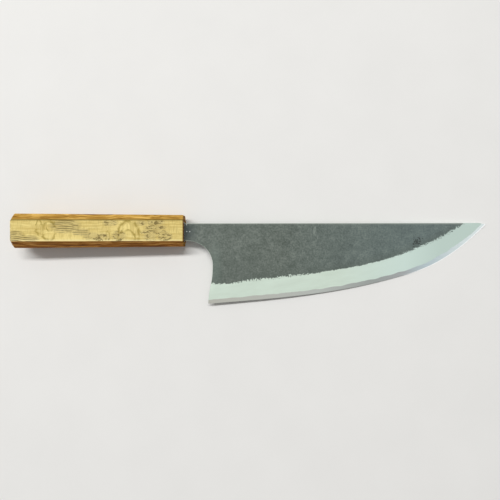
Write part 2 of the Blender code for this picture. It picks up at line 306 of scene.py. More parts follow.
# %% [markdown]
# A knot is written as its place and the pulls of its two handles. A pull of None is a straight side.
# The curve is drawn with those knots and then turned into a chain of short mesh edges, which the mesh
# operators can fill, bridge and extrude. Operators act on whatever is selected, so each step from here
# on first says what it works on.

# %% Drawing a line
STRAIGHT = None
SWEEP_STEPS = 28


def take(*things):
    """Select these objects alone, with the first one active."""
    bpy.ops.object.select_all(action="DESELECT")
    for thing in things:
        thing.select_set(True)
    bpy.context.view_layer.objects.active = things[0]


def draw_line(name, knots, closed=False, steps=SWEEP_STEPS):
    """A chain of mesh edges along a Bezier curve through knots of place, pull before and pull after."""
    bpy.ops.curve.primitive_bezier_curve_add()
    line = bpy.context.object
    line.name = name
    line.data.resolution_u = steps
    spline = line.data.splines[0]
    spline.bezier_points.add(len(knots) - 2)
    spline.use_cyclic_u = closed
    for point, (place, before, after) in zip(spline.bezier_points, knots):
        point.handle_left_type = "VECTOR" if before is STRAIGHT else "FREE"
        point.handle_right_type = "VECTOR" if after is STRAIGHT else "FREE"
        point.co = place
        point.handle_left = place + (before or Vector())
        point.handle_right = place + (after or Vector())
    take(line)
    bpy.ops.object.convert(target="MESH")
    return line


# %% [markdown]
# The forged blank is the side view cut out of a bar. Behind the handle's mouth the neck goes on for a
# few millimetres, steps in at the shoulder, above and below, and runs out into the tang that the handle
# hides.

# %% Side view of the blank
SHOULDER_DEPTH = 3.0 * MM
SHOULDER_STEP = 1.2 * MM
TANG_LENGTH = 96.0 * MM
TANG_END_HEIGHT = 5.0 * MM
TANG_MIDDLE = SPINE_HEIGHT - NECK_HEIGHT / 2
TANG_ROOT_HEIGHT = NECK_HEIGHT - 2 * SHOULDER_STEP


def tang_corner(x, height):
    """A corner of the tang's side view, by its height over the tang's middle."""
    return Vector((x, TANG_MIDDLE + height, 0.0))


blank = draw_line("forged_blank", [
    (tang_corner(-TANG_LENGTH, TANG_END_HEIGHT / 2), STRAIGHT, STRAIGHT),
    (tang_corner(-SHOULDER_DEPTH, TANG_ROOT_HEIGHT / 2), STRAIGHT, STRAIGHT),
    (Vector((-SHOULDER_DEPTH, SPINE_HEIGHT, 0.0)), STRAIGHT, STRAIGHT),
    (on_spine(0.0), STRAIGHT, STRAIGHT),
    (on_spine(TIP_REACH - TIP_CLIP), STRAIGHT, STRAIGHT),
    (tip, STRAIGHT, -TIP_PULL * heading(TIP_SLOPE)),
    (belly, BELLY_FRONT_PULL * heading(BELLY_SLOPE), -BELLY_BACK_PULL * heading(BELLY_SLOPE)),
    (heel, FLAT_PULL * heading(HEEL_SLOPE), HEEL_PULL * heading(math.pi / 2 - HEEL_LEAN)),
    (hollow, Vector((0.0, -CHOIL_LOWER_PULL, 0.0)), Vector((0.0, CHOIL_UPPER_PULL, 0.0))),
    (neck, NECK_PULL * heading(0.0), STRAIGHT),
    (tang_corner(-SHOULDER_DEPTH, -NECK_HEIGHT / 2), STRAIGHT, STRAIGHT),
    (tang_corner(-SHOULDER_DEPTH, -TANG_ROOT_HEIGHT / 2), STRAIGHT, STRAIGHT),
    (tang_corner(-TANG_LENGTH, -TANG_END_HEIGHT / 2), STRAIGHT, STRAIGHT),
], closed=True)
print("side view drawn with", len(blank.data.vertices), "corners")

# %% [markdown]
# Next the side view is filled with a face and extruded into a thick prism. Slicing and cutting depend on
# the order in which a mesh lists its corners, and extrusion leaves another order on each run. So the
# order is settled before each slice and cut, by how far a corner lies along a direction in which hardly
# two are level, and every run gives the same knife.

# %% Prism
STOCK = 6.0 * MM
ORDER_WAY = Vector((1.0, 0.3819, 0.1459))


def push(way):
    """Extrude the selected faces or edges, which leaves the new ones selected."""
    bpy.ops.mesh.extrude_region_move(TRANSFORM_OT_translate={"value": way})


def settle_order(thing):
    """Lay a mesh out in a fixed order of its corners and faces."""
    mesh = thing.data
    ranked = sorted(mesh.vertices, key=lambda corner: corner.co.dot(ORDER_WAY))
    corners = [corner.co.copy() for corner in ranked]
    rank = {corner.index: place for place, corner in enumerate(ranked)}
    faces = []
    for face in mesh.polygons:
        ring = [rank[index] for index in face.vertices]
        start = ring.index(min(ring))
        faces.append(ring[start:] + ring[:start])
    mesh.clear_geometry()
    mesh.from_pydata(corners, [], sorted(faces))


def measure(thing):
    """Print a mesh's faces and volume, and its edges that don't have two faces. None may be left."""
    shape = bmesh.new()
    shape.from_mesh(thing.data)
    stray = sum(len(edge.link_faces) != 2 for edge in shape.edges)
    volume = shape.calc_volume(signed=True) / MM ** 3
    print(f"{thing.name}: {len(shape.faces)} faces, {stray} stray edges, {volume:.0f} cubic mm")
    shape.free()


bpy.ops.object.mode_set(mode="EDIT")
bpy.ops.mesh.select_all(action="SELECT")
bpy.ops.mesh.edge_face_add()
bpy.ops.transform.translate(value=(0.0, 0.0, -STOCK / 2))
push((0.0, 0.0, STOCK))
bpy.ops.mesh.select_all(action="SELECT")
bpy.ops.mesh.normals_make_consistent(inside=False)
bpy.ops.object.mode_set(mode="OBJECT")
measure(blank)

# %% [markdown]
# The blank's faces aren't parallel: the blade thins towards the tip, towards the edge and, inside the
# handle, towards the butt. Each of those tapers is one flat plane, so the prism is sliced by four
# planes, just as a planer would do it.

# %% Planed faces
SPINE_THICKNESS = 4.0 * MM
TAPER_TO_TIP = 0.0100
TAPER_TO_EDGE = 0.0230
TAPER_TO_BUTT = 0.0140
NECK_THICKNESS = SPINE_THICKNESS + TAPER_TO_TIP * SHOULDER_DEPTH
SPECK = 0.0001 * MM


def plane_off(thing, place, way):
    """Cut away all of a solid that stands out past a plane, and close the cut."""
    settle_order(thing)
    bpy.ops.object.mode_set(mode="EDIT")
    bpy.ops.mesh.select_all(action="SELECT")
    bpy.ops.mesh.bisect(plane_co=place, plane_no=way, use_fill=True, clear_outer=True, threshold=SPECK)
    bpy.ops.object.mode_set(mode="OBJECT")


for side in (1, -1):
    blade_plane = Vector((TAPER_TO_TIP / 2, -TAPER_TO_EDGE / 2, side))
    plane_off(blank, (0.0, SPINE_HEIGHT, side * SPINE_THICKNESS / 2), blade_plane)
    tang_plane = Vector((-TAPER_TO_BUTT / 2, -TAPER_TO_EDGE / 2, side))
    plane_off(blank, (-SHOULDER_DEPTH, SPINE_HEIGHT, side * NECK_THICKNESS / 2), tang_plane)
measure(blank)

# %% [markdown]
# A good smith rounds the arrises of the spine and the hollow for the hand. In code, edges are picked by a
# rule: here those between a side face and the rim that lie on top of the blade or in the hollow. Then
# the bevel operator rounds them.

# %% Arrises of the spine and the hollow
SPINE_EASE = 0.35 * MM
EASE_STEPS = 4
HAIR = 0.05 * MM
SIDE_FACE = 0.5


def select_where(kind, wanted):
    """In edit mode, select the faces or edges of the active mesh that a rule picks."""
    bpy.ops.mesh.select_mode(type=kind)
    bpy.ops.mesh.select_all(action="DESELECT")
    mesh = bpy.context.object.data
    shape = bmesh.from_edit_mesh(mesh)
    shape.normal_update()
    picked = [item for item in (shape.faces if kind == "FACE" else shape.edges) if wanted(item)]
    for item in picked:
        item.select_set(True)
    bmesh.update_edit_mesh(mesh)
    return len(picked)


def eased(edge):
    """Whether a blank's arris lies along the spine or the hollow, where the smith rounds it."""
    flat = [abs(face.normal.z) for face in edge.link_faces]
    middle = (edge.verts[0].co + edge.verts[1].co) / 2
    on_top = middle.y > SPINE_HEIGHT - HAIR and -SHOULDER_DEPTH < middle.x < TIP_REACH - TIP_CLIP
    in_hollow = 0.0 < middle.x < CHOIL_REACH + HAIR and heel.y + SPINE_EASE < middle.y < neck.y + HAIR
    return min(flat) < SIDE_FACE < max(flat) and (on_top or in_hollow)


settle_order(blank)
bpy.ops.object.mode_set(mode="EDIT")
rounded = select_where("EDGE", eased)
bpy.ops.mesh.bevel(offset=SPINE_EASE, segments=EASE_STEPS, affect="EDGES")
bpy.ops.object.mode_set(mode="OBJECT")
measure(blank)
print(rounded, "arris edges rounded")

# %% [markdown]
# Grinding. A wheel or stone takes off everything outside the straight line from the bevel line to the
# cutting edge. So a cutter is bridged between those two curves. Both run on straight past the heel and
# past the tip, so that no end of the cutter stops inside the steel. The forged face is flat, and a curve
# whose knots and handles all lie on a flat face stays on it.

# %% Edge and bevel line
EDGE_THICKNESS = 0.10 * MM
OVERRUN = 6.0 * MM
BEVEL_ABOVE_HEEL = 14.2 * MM
BEVEL_AHEAD_OF_HEEL = 2.2 * MM
BEVEL_HEEL_SLOPE = math.radians(6.0)
BEVEL_HEEL_PULL = 94.8 * MM
BEVEL_BEHIND_TIP = 15.8 * MM
BEVEL_TIP_SLOPE = math.radians(31.9)
BEVEL_TIP_PULL = 62.6 * MM

bevel_start = below_spine(HEEL_REACH + BEVEL_AHEAD_OF_HEEL, HEEL_DEPTH - BEVEL_ABOVE_HEEL)
bevel_end = on_spine(TIP_REACH - BEVEL_BEHIND_TIP)


def run_past(knots, first_way, last_way):
    """The same knots with a straight stretch before the first and after the last."""
    (start, _, leaving), (end, arriving, _) = knots[0], knots[-1]
    before = (start - OVERRUN * first_way, STRAIGHT, STRAIGHT)
    after = (end + OVERRUN * last_way, STRAIGHT, STRAIGHT)
    return [before, (start, STRAIGHT, leaving), *knots[1:-1], (end, arriving, STRAIGHT), after]


def edge_knots(shift):
    """Knots of the cutting edge, moved as a whole by a shift."""
    return run_past([
        (heel + shift, STRAIGHT, FLAT_PULL * heading(HEEL_SLOPE)),
        (belly + shift, -BELLY_BACK_PULL * heading(BELLY_SLOPE), BELLY_FRONT_PULL * heading(BELLY_SLOPE)),
        (tip + shift, -TIP_PULL * heading(TIP_SLOPE), STRAIGHT),
    ], heading(HEEL_SLOPE), heading(TIP_SLOPE))


def on_face(place):
    """The same point of the side view, lifted onto the forged face."""
    lost = TAPER_TO_TIP * place.x + TAPER_TO_EDGE * (SPINE_HEIGHT - place.y)
    return Vector((place.x, place.y, (SPINE_THICKNESS - lost) / 2))


def bevel_knots():
    """Knots of the bevel line, on the forged face."""
    leaving = bevel_start + BEVEL_HEEL_PULL * heading(BEVEL_HEEL_SLOPE)
    arriving = bevel_end - BEVEL_TIP_PULL * heading(BEVEL_TIP_SLOPE)
    start, leaving, arriving, end = (on_face(place) for place in (bevel_start, leaving, arriving, bevel_end))
    return run_past([(start, STRAIGHT, leaving - start), (end, arriving - end, STRAIGHT)],
                    (leaving - start).normalized(), (end - arriving).normalized())


print("bevel at the heel:", round(BEVEL_ABOVE_HEEL / MM, 1), "mm high")

# %% [markdown]
# Between the two curves lies the ground surface. Its lower rim is drawn out past the edge and the whole
# sheet is then extruded away from the blade, which makes a closed block. Taking that block away with a
# Boolean modifier is the grinding. The second side gets the mirror image of the first.

# %% Grind the bevels
RIM_LEVEL = EDGE_THICKNESS / 2 + HAIR / 10
PAST_EDGE = (OVERRUN / 4, -OVERRUN, -OVERRUN / 20)


def make_wheel(name, high, low, side):
    """A closed cutter over the strip between two chains of edges, on one side of the blade."""
    take(high, low)
    bpy.ops.object.join()
    wheel = bpy.context.object
    wheel.name = name
    bpy.ops.object.mode_set(mode="EDIT")
    bpy.ops.mesh.select_all(action="SELECT")
    bpy.ops.mesh.bridge_edge_loops()
    select_where("EDGE", lambda edge: max(corner.co.z for corner in edge.verts) < RIM_LEVEL)
    push(PAST_EDGE)
    bpy.ops.mesh.select_all(action="SELECT")
    push((0.0, 0.0, OVERRUN))
    bpy.ops.mesh.select_all(action="SELECT")
    if side < 0:
        bpy.ops.transform.resize(value=(1.0, 1.0, -1.0), center_override=(0.0, 0.0, 0.0))
    bpy.ops.mesh.normals_make_consistent(inside=False)
    bpy.ops.object.mode_set(mode="OBJECT")
    return wheel


def carve(thing, cutter, operation):
    """Shape one closed mesh with another, and apply the step at once."""
    settle_order(thing)
    settle_order(cutter)
    take(thing)
    step = thing.modifiers.new("carve", "BOOLEAN")
    step.solver = "MANIFOLD"
    step.operation = operation
    step.object = cutter
    bpy.ops.object.modifier_apply(modifier=step.name)


def put_away(*things):
    """Delete cutters and guides that have done their work."""
    take(*things)
    bpy.ops.object.delete()


below_edge = Vector((0.0, -HAIR, EDGE_THICKNESS / 2))
for side in (1, -1):
    high = draw_line("bevel_line", bevel_knots(), steps=2 * SWEEP_STEPS)
    low = draw_line("edge_line", edge_knots(below_edge))
    wheel = make_wheel("wheel", high, low, side)
    measure(wheel)
    carve(blank, wheel, "DIFFERENCE")
    put_away(wheel)
    measure(blank)

# %% [markdown]
# Last comes the whetting: a narrow second facet along the very edge, at a blunter angle, that makes the
# knife cut. Its slope decides its width, because it has to meet the bevel: a third of a millimetre at
# the heel, and near the tip, where the stone is held flatter, more than half of one.

# %% Whet the edge
WHET_SLOPE_AT_HEEL = 0.19
WHET_SLOPE_AT_BELLY = 0.135
WHET_SLOPE_AT_TIP = 0.12
WHET_REACH = 1.2 * MM
KEEN_EDGE = 0.02 * MM


def over_edge(place, slope, rise):
    """A point on the stone's plane, well inside the blade from a point of the cutting edge."""
    inward = WHET_REACH * heading(slope + math.pi / 2)
    return place + inward + Vector((0.0, 0.0, KEEN_EDGE + rise * WHET_REACH))


def facet_knots():
    """Knots of the stone's inner rim, which runs beside the edge."""
    return run_past([
        (over_edge(heel, HEEL_SLOPE, WHET_SLOPE_AT_HEEL), STRAIGHT, FLAT_PULL * heading(HEEL_SLOPE)),
        (over_edge(belly, BELLY_SLOPE, WHET_SLOPE_AT_BELLY), -BELLY_BACK_PULL * heading(BELLY_SLOPE),
         BELLY_FRONT_PULL * heading(BELLY_SLOPE)),
        (over_edge(tip, TIP_SLOPE, WHET_SLOPE_AT_TIP), -TIP_PULL * heading(TIP_SLOPE), STRAIGHT),
    ], heading(HEEL_SLOPE), heading(TIP_SLOPE))


below_keen = Vector((0.0, -HAIR, KEEN_EDGE))
for side in (1, -1):
    high = draw_line("facet_line", facet_knots())
    low = draw_line("keen_line", edge_knots(below_keen))
    stone = make_wheel("stone", high, low, side)
    carve(blank, stone, "DIFFERENCE")
    put_away(stone)
measure(blank)

# %% [markdown]
# The three layers were welded by hammer, so the seams between them aren't quite flat. Where the bevel
# cuts through a seam at its shallow angle, a wander of a few hundredths of a millimetre shows as a
# wavy line half a millimetre or more to either side. The same thing is done here: a fine grid is
# bent to the core's thickness, which forging has drawn out towards the tip, then pushed up and down by a
# cloud pattern and extruded into a block.

# %% Weld seams
CORE_THICKNESS = 0.68 * MM
CORE_DRAWN_REACH = 120.0 * MM
CORE_DRAWN_THICKNESS = 0.49 * MM
SEAM_WANDER = 0.13 * MM
SEAM_WAVE = 9.0 * MM
SEAM_GRID = 1.5 * MM


def core_half(x):
    """Half of the core's thickness, which thins until it is drawn out and then stays the same."""
    drawn = min(max(x / CORE_DRAWN_REACH, 0.0), 1.0)
    return (CORE_THICKNESS + drawn * (CORE_DRAWN_THICKNESS - CORE_THICKNESS)) / 2


def bent_grid():
    """A fine grid over the whole side view, at half of the core's thickness."""
    length = TIP_REACH + TANG_LENGTH + 2 * OVERRUN
    height = HEEL_DEPTH + 2 * OVERRUN
    bpy.ops.mesh.primitive_grid_add(x_subdivisions=round(length / SEAM_GRID), size=1.0,
                                    y_subdivisions=round(height / SEAM_GRID))
    grid = bpy.context.object
    middle = Vector(((TIP_REACH - TANG_LENGTH) / 2, SPINE_HEIGHT - HEEL_DEPTH / 2, 0.0))
    grid.data.transform(Matrix.Translation(middle) @ Matrix.Diagonal((length, height, 1.0, 1.0)))
    for corner in grid.data.vertices:
        corner.co.z = core_half(corner.co.x)
    return grid


def make_seam(side):
    """A block that holds all beyond the wavy weld seam on one side of the core."""
    seam = bent_grid()
    clouds = bpy.data.textures.new("hammered_seam", "CLOUDS")
    clouds.noise_scale = SEAM_WAVE
    wander = seam.modifiers.new("wander", "DISPLACE")
    wander.texture = clouds
    wander.direction = "Z"
    wander.strength = SEAM_WANDER
    take(seam)
    bpy.ops.object.modifier_apply(modifier=wander.name)
    bpy.ops.object.mode_set(mode="EDIT")
    bpy.ops.mesh.select_all(action="SELECT")
    push((0.0, 0.0, OVERRUN))
    bpy.ops.mesh.select_all(action="SELECT")
    if side < 0:
        bpy.ops.transform.resize(value=(1.0, 1.0, -1.0), center_override=(0.0, 0.0, 0.0))
    bpy.ops.mesh.normals_make_consistent(inside=False)
    bpy.ops.object.mode_set(mode="OBJECT")
    return seam


print("core at the handle and drawn out:", CORE_THICKNESS / MM, "and", CORE_DRAWN_THICKNESS / MM, "mm")

# %% [markdown]
# The blade is parted with the two blocks: what lies inside a block is that side's iron, and what neither
# block takes is the hard core. A copy of the whole blade is kept back, to cut its bed in the resin.

# %% Part the layers
def copy_of(thing, name):
    """A second object with its own mesh."""
    take(thing)
    bpy.ops.object.duplicate()
    twin = bpy.context.object
    twin.name = name
    return twin


whole_blade = copy_of(blank, "whole_blade")
core = blank
core.name = "forged_core"
claddings = []
for side, name in ((1, "iron_cladding_upper"), (-1, "iron_cladding_lower")):
    seam = make_seam(side)
    cladding = copy_of(core, name)
    carve(cladding, seam, "INTERSECT")
    carve(core, seam, "DIFFERENCE")
    put_away(seam)
    claddings.append(cladding)
for layer in (core, *claddings):
    measure(layer)

# %% [markdown]
# The handle is made as its maker makes it. A square bar is drawn in towards the blade, its four corners
# are planed off, and the ends get a chamfer. Planing is a slice again: each corner facet runs through
# two points at the butt and two at the mouth, and all four lie in one plane. A last small round on
# every arris catches a line of light, as sanded wood does.

# %% Handle
BUTT_HEIGHT = 24.8 * MM
BUTT_THICKNESS = 20.0 * MM
BUTT_CORNER = 4.7 * MM
BUTT_CHAMFER = 2.2 * MM
FRONT_HEIGHT = 22.7 * MM
FRONT_THICKNESS = 17.5 * MM
FRONT_CORNER = 3.9 * MM
FRONT_CHAMFER = 0.4 * MM
ARRIS_EASE = 0.25 * MM
ARRIS_STEPS = 3
FACING = 0.9

bpy.ops.mesh.primitive_cube_add(size=1.0)
handle = bpy.context.object
handle.name = "oak_handle"
handle.data.transform(Matrix.Translation((-HANDLE_LENGTH / 2, 0.0, 0.0))
                      @ Matrix.Diagonal((HANDLE_LENGTH, BUTT_HEIGHT, BUTT_THICKNESS, 1.0)))
take(handle)
bpy.ops.object.mode_set(mode="EDIT")
select_where("FACE", lambda face: face.normal.x > FACING)
bpy.ops.transform.resize(value=(1.0, FRONT_HEIGHT / BUTT_HEIGHT, FRONT_THICKNESS / BUTT_THICKNESS))
bpy.ops.object.mode_set(mode="OBJECT")
for up in (1, -1):
    for out in (1, -1):
        high_back = Vector((-HANDLE_LENGTH, up * (BUTT_HEIGHT / 2 - BUTT_CORNER), out * BUTT_THICKNESS / 2))
        low_back = Vector((-HANDLE_LENGTH, up * BUTT_HEIGHT / 2, out * (BUTT_THICKNESS / 2 - BUTT_CORNER)))
        high_front = Vector((0.0, up * (FRONT_HEIGHT / 2 - FRONT_CORNER), out * FRONT_THICKNESS / 2))
        way = (low_back - high_back).cross(high_front - high_back)
        if way.y * up < 0:
            way.negate()
        plane_off(handle, high_back, way)
settle_order(handle)
bpy.ops.object.mode_set(mode="EDIT")
for way, chamfer in ((-1, BUTT_CHAMFER), (1, FRONT_CHAMFER)):
    select_where("EDGE", lambda edge: any(way * face.normal.x > FACING for face in edge.link_faces))
    bpy.ops.mesh.bevel(offset=chamfer, segments=1, affect="EDGES")
bpy.ops.mesh.select_all(action="SELECT")
bpy.ops.mesh.bevel(offset=ARRIS_EASE, segments=ARRIS_STEPS, affect="EDGES")
bpy.ops.object.mode_set(mode="OBJECT")
measure(handle)

# %% [markdown]
# The tang sits in a slot that is a little larger all round, and hard resin fills the space. The same
# shape is wanted twice, as the cutter for the slot and as the filling, so one function makes it: a
# square bar for the neck, extruded and drawn in at the shoulder, and extruded again to the tang's end.

# %% Slot for the tang
RESIN_MARGIN = 1.2 * MM
SLOT_ROUND = 1.2 * MM
ROUND_STEPS = 4
TANG_END_THICKNESS = NECK_THICKNESS - TAPER_TO_BUTT * (TANG_LENGTH - SHOULDER_DEPTH)


def neck_bar(name, front, margin):
    """A closed bar round the neck, from its front to the shoulder."""
    shoulder = -SHOULDER_DEPTH - margin
    size = (front - shoulder, NECK_HEIGHT + 2 * margin, NECK_THICKNESS + 2 * margin, 1.0)
    bpy.ops.mesh.primitive_cube_add(size=1.0)
    bar = bpy.context.object
    bar.name = name
    bar.data.transform(Matrix.Translation(((front + shoulder) / 2, TANG_MIDDLE, 0.0))
                       @ Matrix.Diagonal(size))
    return bar


def tang_bar(name, front, margin):
    """A closed bar round the neck and the tang, larger than they are by a margin on every side."""
    bar = neck_bar(name, front, margin)
    root = TANG_ROOT_HEIGHT + 2 * margin
    root_ratio = root / (NECK_HEIGHT + 2 * margin)
    end_ratio = (TANG_END_THICKNESS + 2 * margin) / (NECK_THICKNESS + 2 * margin)
    take(bar)
    bpy.ops.object.mode_set(mode="EDIT")
    select_where("FACE", lambda face: face.normal.x < -FACING)
    push((-SHOULDER_STEP, 0.0, 0.0))
    bpy.ops.transform.resize(value=(1.0, root_ratio, 1.0))
    push((SHOULDER_DEPTH + SHOULDER_STEP - TANG_LENGTH, 0.0, 0.0))
    bpy.ops.transform.resize(value=(1.0, (TANG_END_HEIGHT + 2 * margin) / root, end_ratio))
    select_where("EDGE", lambda edge: abs(edge.verts[0].co.x - edge.verts[1].co.x) > HAIR)
    bpy.ops.mesh.bevel(offset=SLOT_ROUND, segments=ROUND_STEPS, affect="EDGES")
    bpy.ops.object.mode_set(mode="OBJECT")
    return bar


slot = tang_bar("tang_slot", OVERRUN, RESIN_MARGIN)
carve(handle, slot, "DIFFERENCE")
put_away(slot)
measure(handle)

# %% [markdown]
# Resin is poured in nearly to the mouth, and it cures with a low swell round the steel. Two insets of the
# front face, each moved forward a little, give that swell. The kept blade then cuts its own bed, so the
# resin fits the tang exactly.

# %% Resin bed
RESIN_RECESS = 0.3 * MM
MENISCUS = 0.45 * MM

resin = tang_bar("resin_bed", -RESIN_RECESS, RESIN_MARGIN)
bpy.ops.object.mode_set(mode="EDIT")
select_where("FACE", lambda face: face.normal.x > FACING)
for rise in (MENISCUS / 2, MENISCUS):
    bpy.ops.mesh.inset(thickness=MENISCUS)
    bpy.ops.transform.translate(value=(rise, 0.0, 0.0))
bpy.ops.object.mode_set(mode="OBJECT")
carve(resin, whole_blade, "DIFFERENCE")
put_away(whole_blade)
measure(resin)

# %% [markdown]
# Shading. A large flat face must stay flat to the eye and a rounded arris must look round, although both
# share corners. Arrises over a crease angle are marked sharp, and a Weighted Normal modifier lets the
# large faces decide the rest. On the blade, the grind meets the forged face at only four or five
# degrees, far under any crease angle, so those edges are picked by their own small angle.

# %% Crisp and soft arrises
BLADE_CREASE = math.radians(35)
HANDLE_CREASE = math.radians(40)
GRIND_LEAST = math.radians(1.5)
GRIND_MOST = math.radians(9.5)


def ground_crease(edge):
    """Whether an edge is where one ground or forged side face meets another."""
    return (len(edge.link_faces) == 2 and all(abs(face.normal.z) > FACING for face in edge.link_faces)
            and GRIND_LEAST < edge.calc_face_angle() < GRIND_MOST)


def finish_shape(thing, crease, extra=None):
    """Merge doubles, mark creases, smooth the rest, and carry the mesh into the world."""
    take(thing)
    bpy.ops.object.mode_set(mode="EDIT")
    bpy.ops.mesh.select_all(action="SELECT")
    bpy.ops.mesh.remove_doubles(threshold=SPECK)
    bpy.ops.mesh.select_all(action="SELECT")
    bpy.ops.mesh.normals_make_consistent(inside=False)
    bpy.ops.object.mode_set(mode="OBJECT")
    settle_order(thing)
    bpy.ops.object.shade_smooth_by_angle(angle=crease)
    if extra:
        bpy.ops.object.mode_set(mode="EDIT")
        print(thing.name, "has", select_where("EDGE", extra), "edges on its ground creases")
        bpy.ops.mesh.mark_sharp()
        bpy.ops.object.mode_set(mode="OBJECT")
    weight = thing.modifiers.new("weight", "WEIGHTED_NORMAL")
    weight.keep_sharp = True
    bpy.ops.object.modifier_apply(modifier=weight.name)
    thing.matrix_world = KNIFE_TO_WORLD
    bpy.ops.object.transform_apply(location=True, rotation=True, scale=True)
    measure(thing)


for layer in (core, *claddings):
    finish_shape(layer, BLADE_CREASE, ground_crease)
for piece in (handle, resin):
    finish_shape(piece, HANDLE_CREASE)

# %% [markdown]
# All patterns are laid out in millimetres along the knife. Object coordinates are the world's here,
# because every piece sits at the origin, and a Mapping node of the Texture kind undoes the knife's place
# and turn. The Texture kind also divides by its scale, so wherever it is used below, the scale is simply
# the size of one feature, or the half width of a patch, in millimetres along, up and out of the knife.

# %% Coordinates for the finishes
def new_material(name):
    """An empty material and its tree."""
    material = bpy.data.materials.new(name)
    material.use_nodes = True
    material.node_tree.nodes.clear()
    return material, material.node_tree


def knife_place(tree):
    """Coordinates in millimetres along the knife's own axes, from the handle's mouth."""
    spot = add_node(tree, "TexCoord")
    return add_node(tree, "Mapping", {"vector_type": "TEXTURE", "Location": mouth,
                                      "Rotation": turn.to_euler(), "Scale": (MM, MM, MM)},
                    {"Vector": spot.outputs["Object"]})


def faces_along(tree, axis):
    """How squarely the surface looks along an axis, from 0 for edge-on to 1, on either side."""
    spot = add_node(tree, "TexCoord")
    share = add_node(tree, "VectorMath", {"operation": "DOT_PRODUCT", "Vector_001": axis},
                     {"Vector": spot.outputs["Normal"]})
    return add_node(tree, "Math", {"operation": "ABSOLUTE"}, {"Value": share})


print("turn of the patterns, in degrees:", [round(math.degrees(angle), 2) for angle in turn.to_euler()])

# %% [markdown]
# Four small builders serve the finishes. Nothing on a handmade knife is even, so a cloudy value that
# swings about zero is added to many others. A soft patch marks one spot. Of several patches the
# strongest counts. And colours are laid one over another like coats, each where its cover says.

# %% Clouds, patches and coats
def unevenness(tree, place, size, swing, detail=3.0):
    """A cloudy value, with clouds of a size in millimetres, that swings about zero."""
    noise = add_node(tree, "TexNoise", {"Scale": 1 / size, "Detail": detail, "Roughness": 0.6},
                     {"Vector": place})
    return add_node(tree, "MapRange", {"To": (-swing, swing), "clamp": False}, {"Value": noise})


def soft_patch(tree, place, middle, half, strength=1.0):
    """A soft patch of a strength round a point, which is gone past its half widths in millimetres."""
    spot = add_node(tree, "Mapping", {"vector_type": "TEXTURE", "Location": middle, "Scale": half},
                    {"Vector": place})
    ball = add_node(tree, "TexGradient", {"gradient_type": "SPHERICAL"}, {"Vector": spot})
    return add_node(tree, "Math", {**PRODUCT, "Value_001": strength}, {"Value": ball.outputs["Fac"]})


def strongest(tree, values):
    """The strongest of several values at each point."""
    most, *others = values
    for value in others:
        most = add_node(tree, "Math", GREATER, {"Value": most, "Value_001": value})
    return most


def lay_coats(tree, ground, *coats):
    """Colours laid over a ground in turn. A coat is its cover, from 0 to 1, and its colour or node."""
    for cover, coat in coats:
        settings, links = {"data_type": "RGBA"}, {"Factor": cover, "A": ground}
        if isinstance(coat, str):
            settings["B"] = coat
        else:
            links["B"] = coat
        ground = add_node(tree, "Mix", settings, links)
    return ground


# %% [markdown]
# Forge scale over ground iron. Scale is the black-grey skin of oxide that the fire leaves, and it stays
# where the surface was too low for the wheel, so its border follows the bevel line. A Float Curve node
# holds that line: the height of the line at each way along the blade, read off the same knots that
# shaped the bevel.

# %% Course of the bevel line
LINE_END = 2
LINE_STRIDE = 4


def bevel_height(tree, reach):
    """Height of the bevel line, in millimetres, at a reach along the blade."""
    line = draw_line("line_of_scale", bevel_knots()[1:-1])
    heights = [(corner.co.x / MM, corner.co.y / MM) for corner in line.data.vertices]
    put_away(line)
    (first_x, first_y), (last_x, last_y) = heights[0], heights[-1]
    share = add_node(tree, "MapRange", {"From": (first_x, last_x)}, {"Value": reach})
    bend = add_node(tree, "FloatCurve", links={"Value": share})
    points = bend.mapping.curves[0].points
    for x, y in heights[LINE_END:-LINE_END:LINE_STRIDE]:
        points.new((x - first_x) / (last_x - first_x), (y - first_y) / (last_y - first_y))
    bend.mapping.update()
    print("bevel line from", round(first_y, 1), "to", round(last_y, 1), "mm, held by", len(points), "points")
    return add_node(tree, "MapRange", {"To": (first_y, last_y)}, {"Value": bend})


# %% [markdown]
# The border is ragged, because the skin is uneven where the wheel just reaches it: teeth of scale stand
# out below the line, calmer along the middle of the blade and rougher near the tip. At the heel's corner
# the border lifts, and a little ahead of it it sags. The scale is also gone from the rounded arrises,
# where hand and belt have taken it off, so it only covers what looks squarely out of the side.

# %% Border of the scale
TOOTH_WIDTH = 1.0
TOOTH_REACH = 3.0
WANDER_WIDTH = 12.0
WANDER_REACH = 1.1
CALM_FROM = 88.0, 102.0
CALM_TO = 162.0, 148.0
CALMED = 0.65
ROUGHER_FROM = 150.0, 172.0
ROUGHER = 1.4
HEEL_CORNER = (16.0, -39.0, 1.5), (9.0, 9.0, 6.0), -1.2
HEEL_SAG = (34.0, -38.5, 1.5), (13.0, 9.0, 6.0), 0.9
PAST_END = 8.0
BORDER_BLUR = 0.12
WORN_ARRIS = 0.8, 0.9
WEAR_WIDTH = 1.4
WEAR_SWING = 0.02


def border_teeth(tree, place, reach):
    """Teeth of the border, as a swing in millimetres that differs along the blade."""
    calm = add_node(tree, "MapRange", {"From": CALM_FROM}, {"Value": reach})
    again = add_node(tree, "MapRange", {"From": CALM_TO}, {"Value": reach})
    calm = add_node(tree, "Math", PRODUCT, {"Value": calm, "Value_001": again})
    ragged = add_node(tree, "MapRange", {"To": (1.0, 1.0 - CALMED)}, {"Value": calm})
    rougher = add_node(tree, "MapRange", {"From": ROUGHER_FROM, "To": (1.0, ROUGHER)}, {"Value": reach})
    teeth = unevenness(tree, place, TOOTH_WIDTH, TOOTH_REACH, 2.0)
    for share in (ragged, rougher):
        teeth = add_node(tree, "Math", PRODUCT, {"Value": teeth, "Value_001": share})
    return teeth


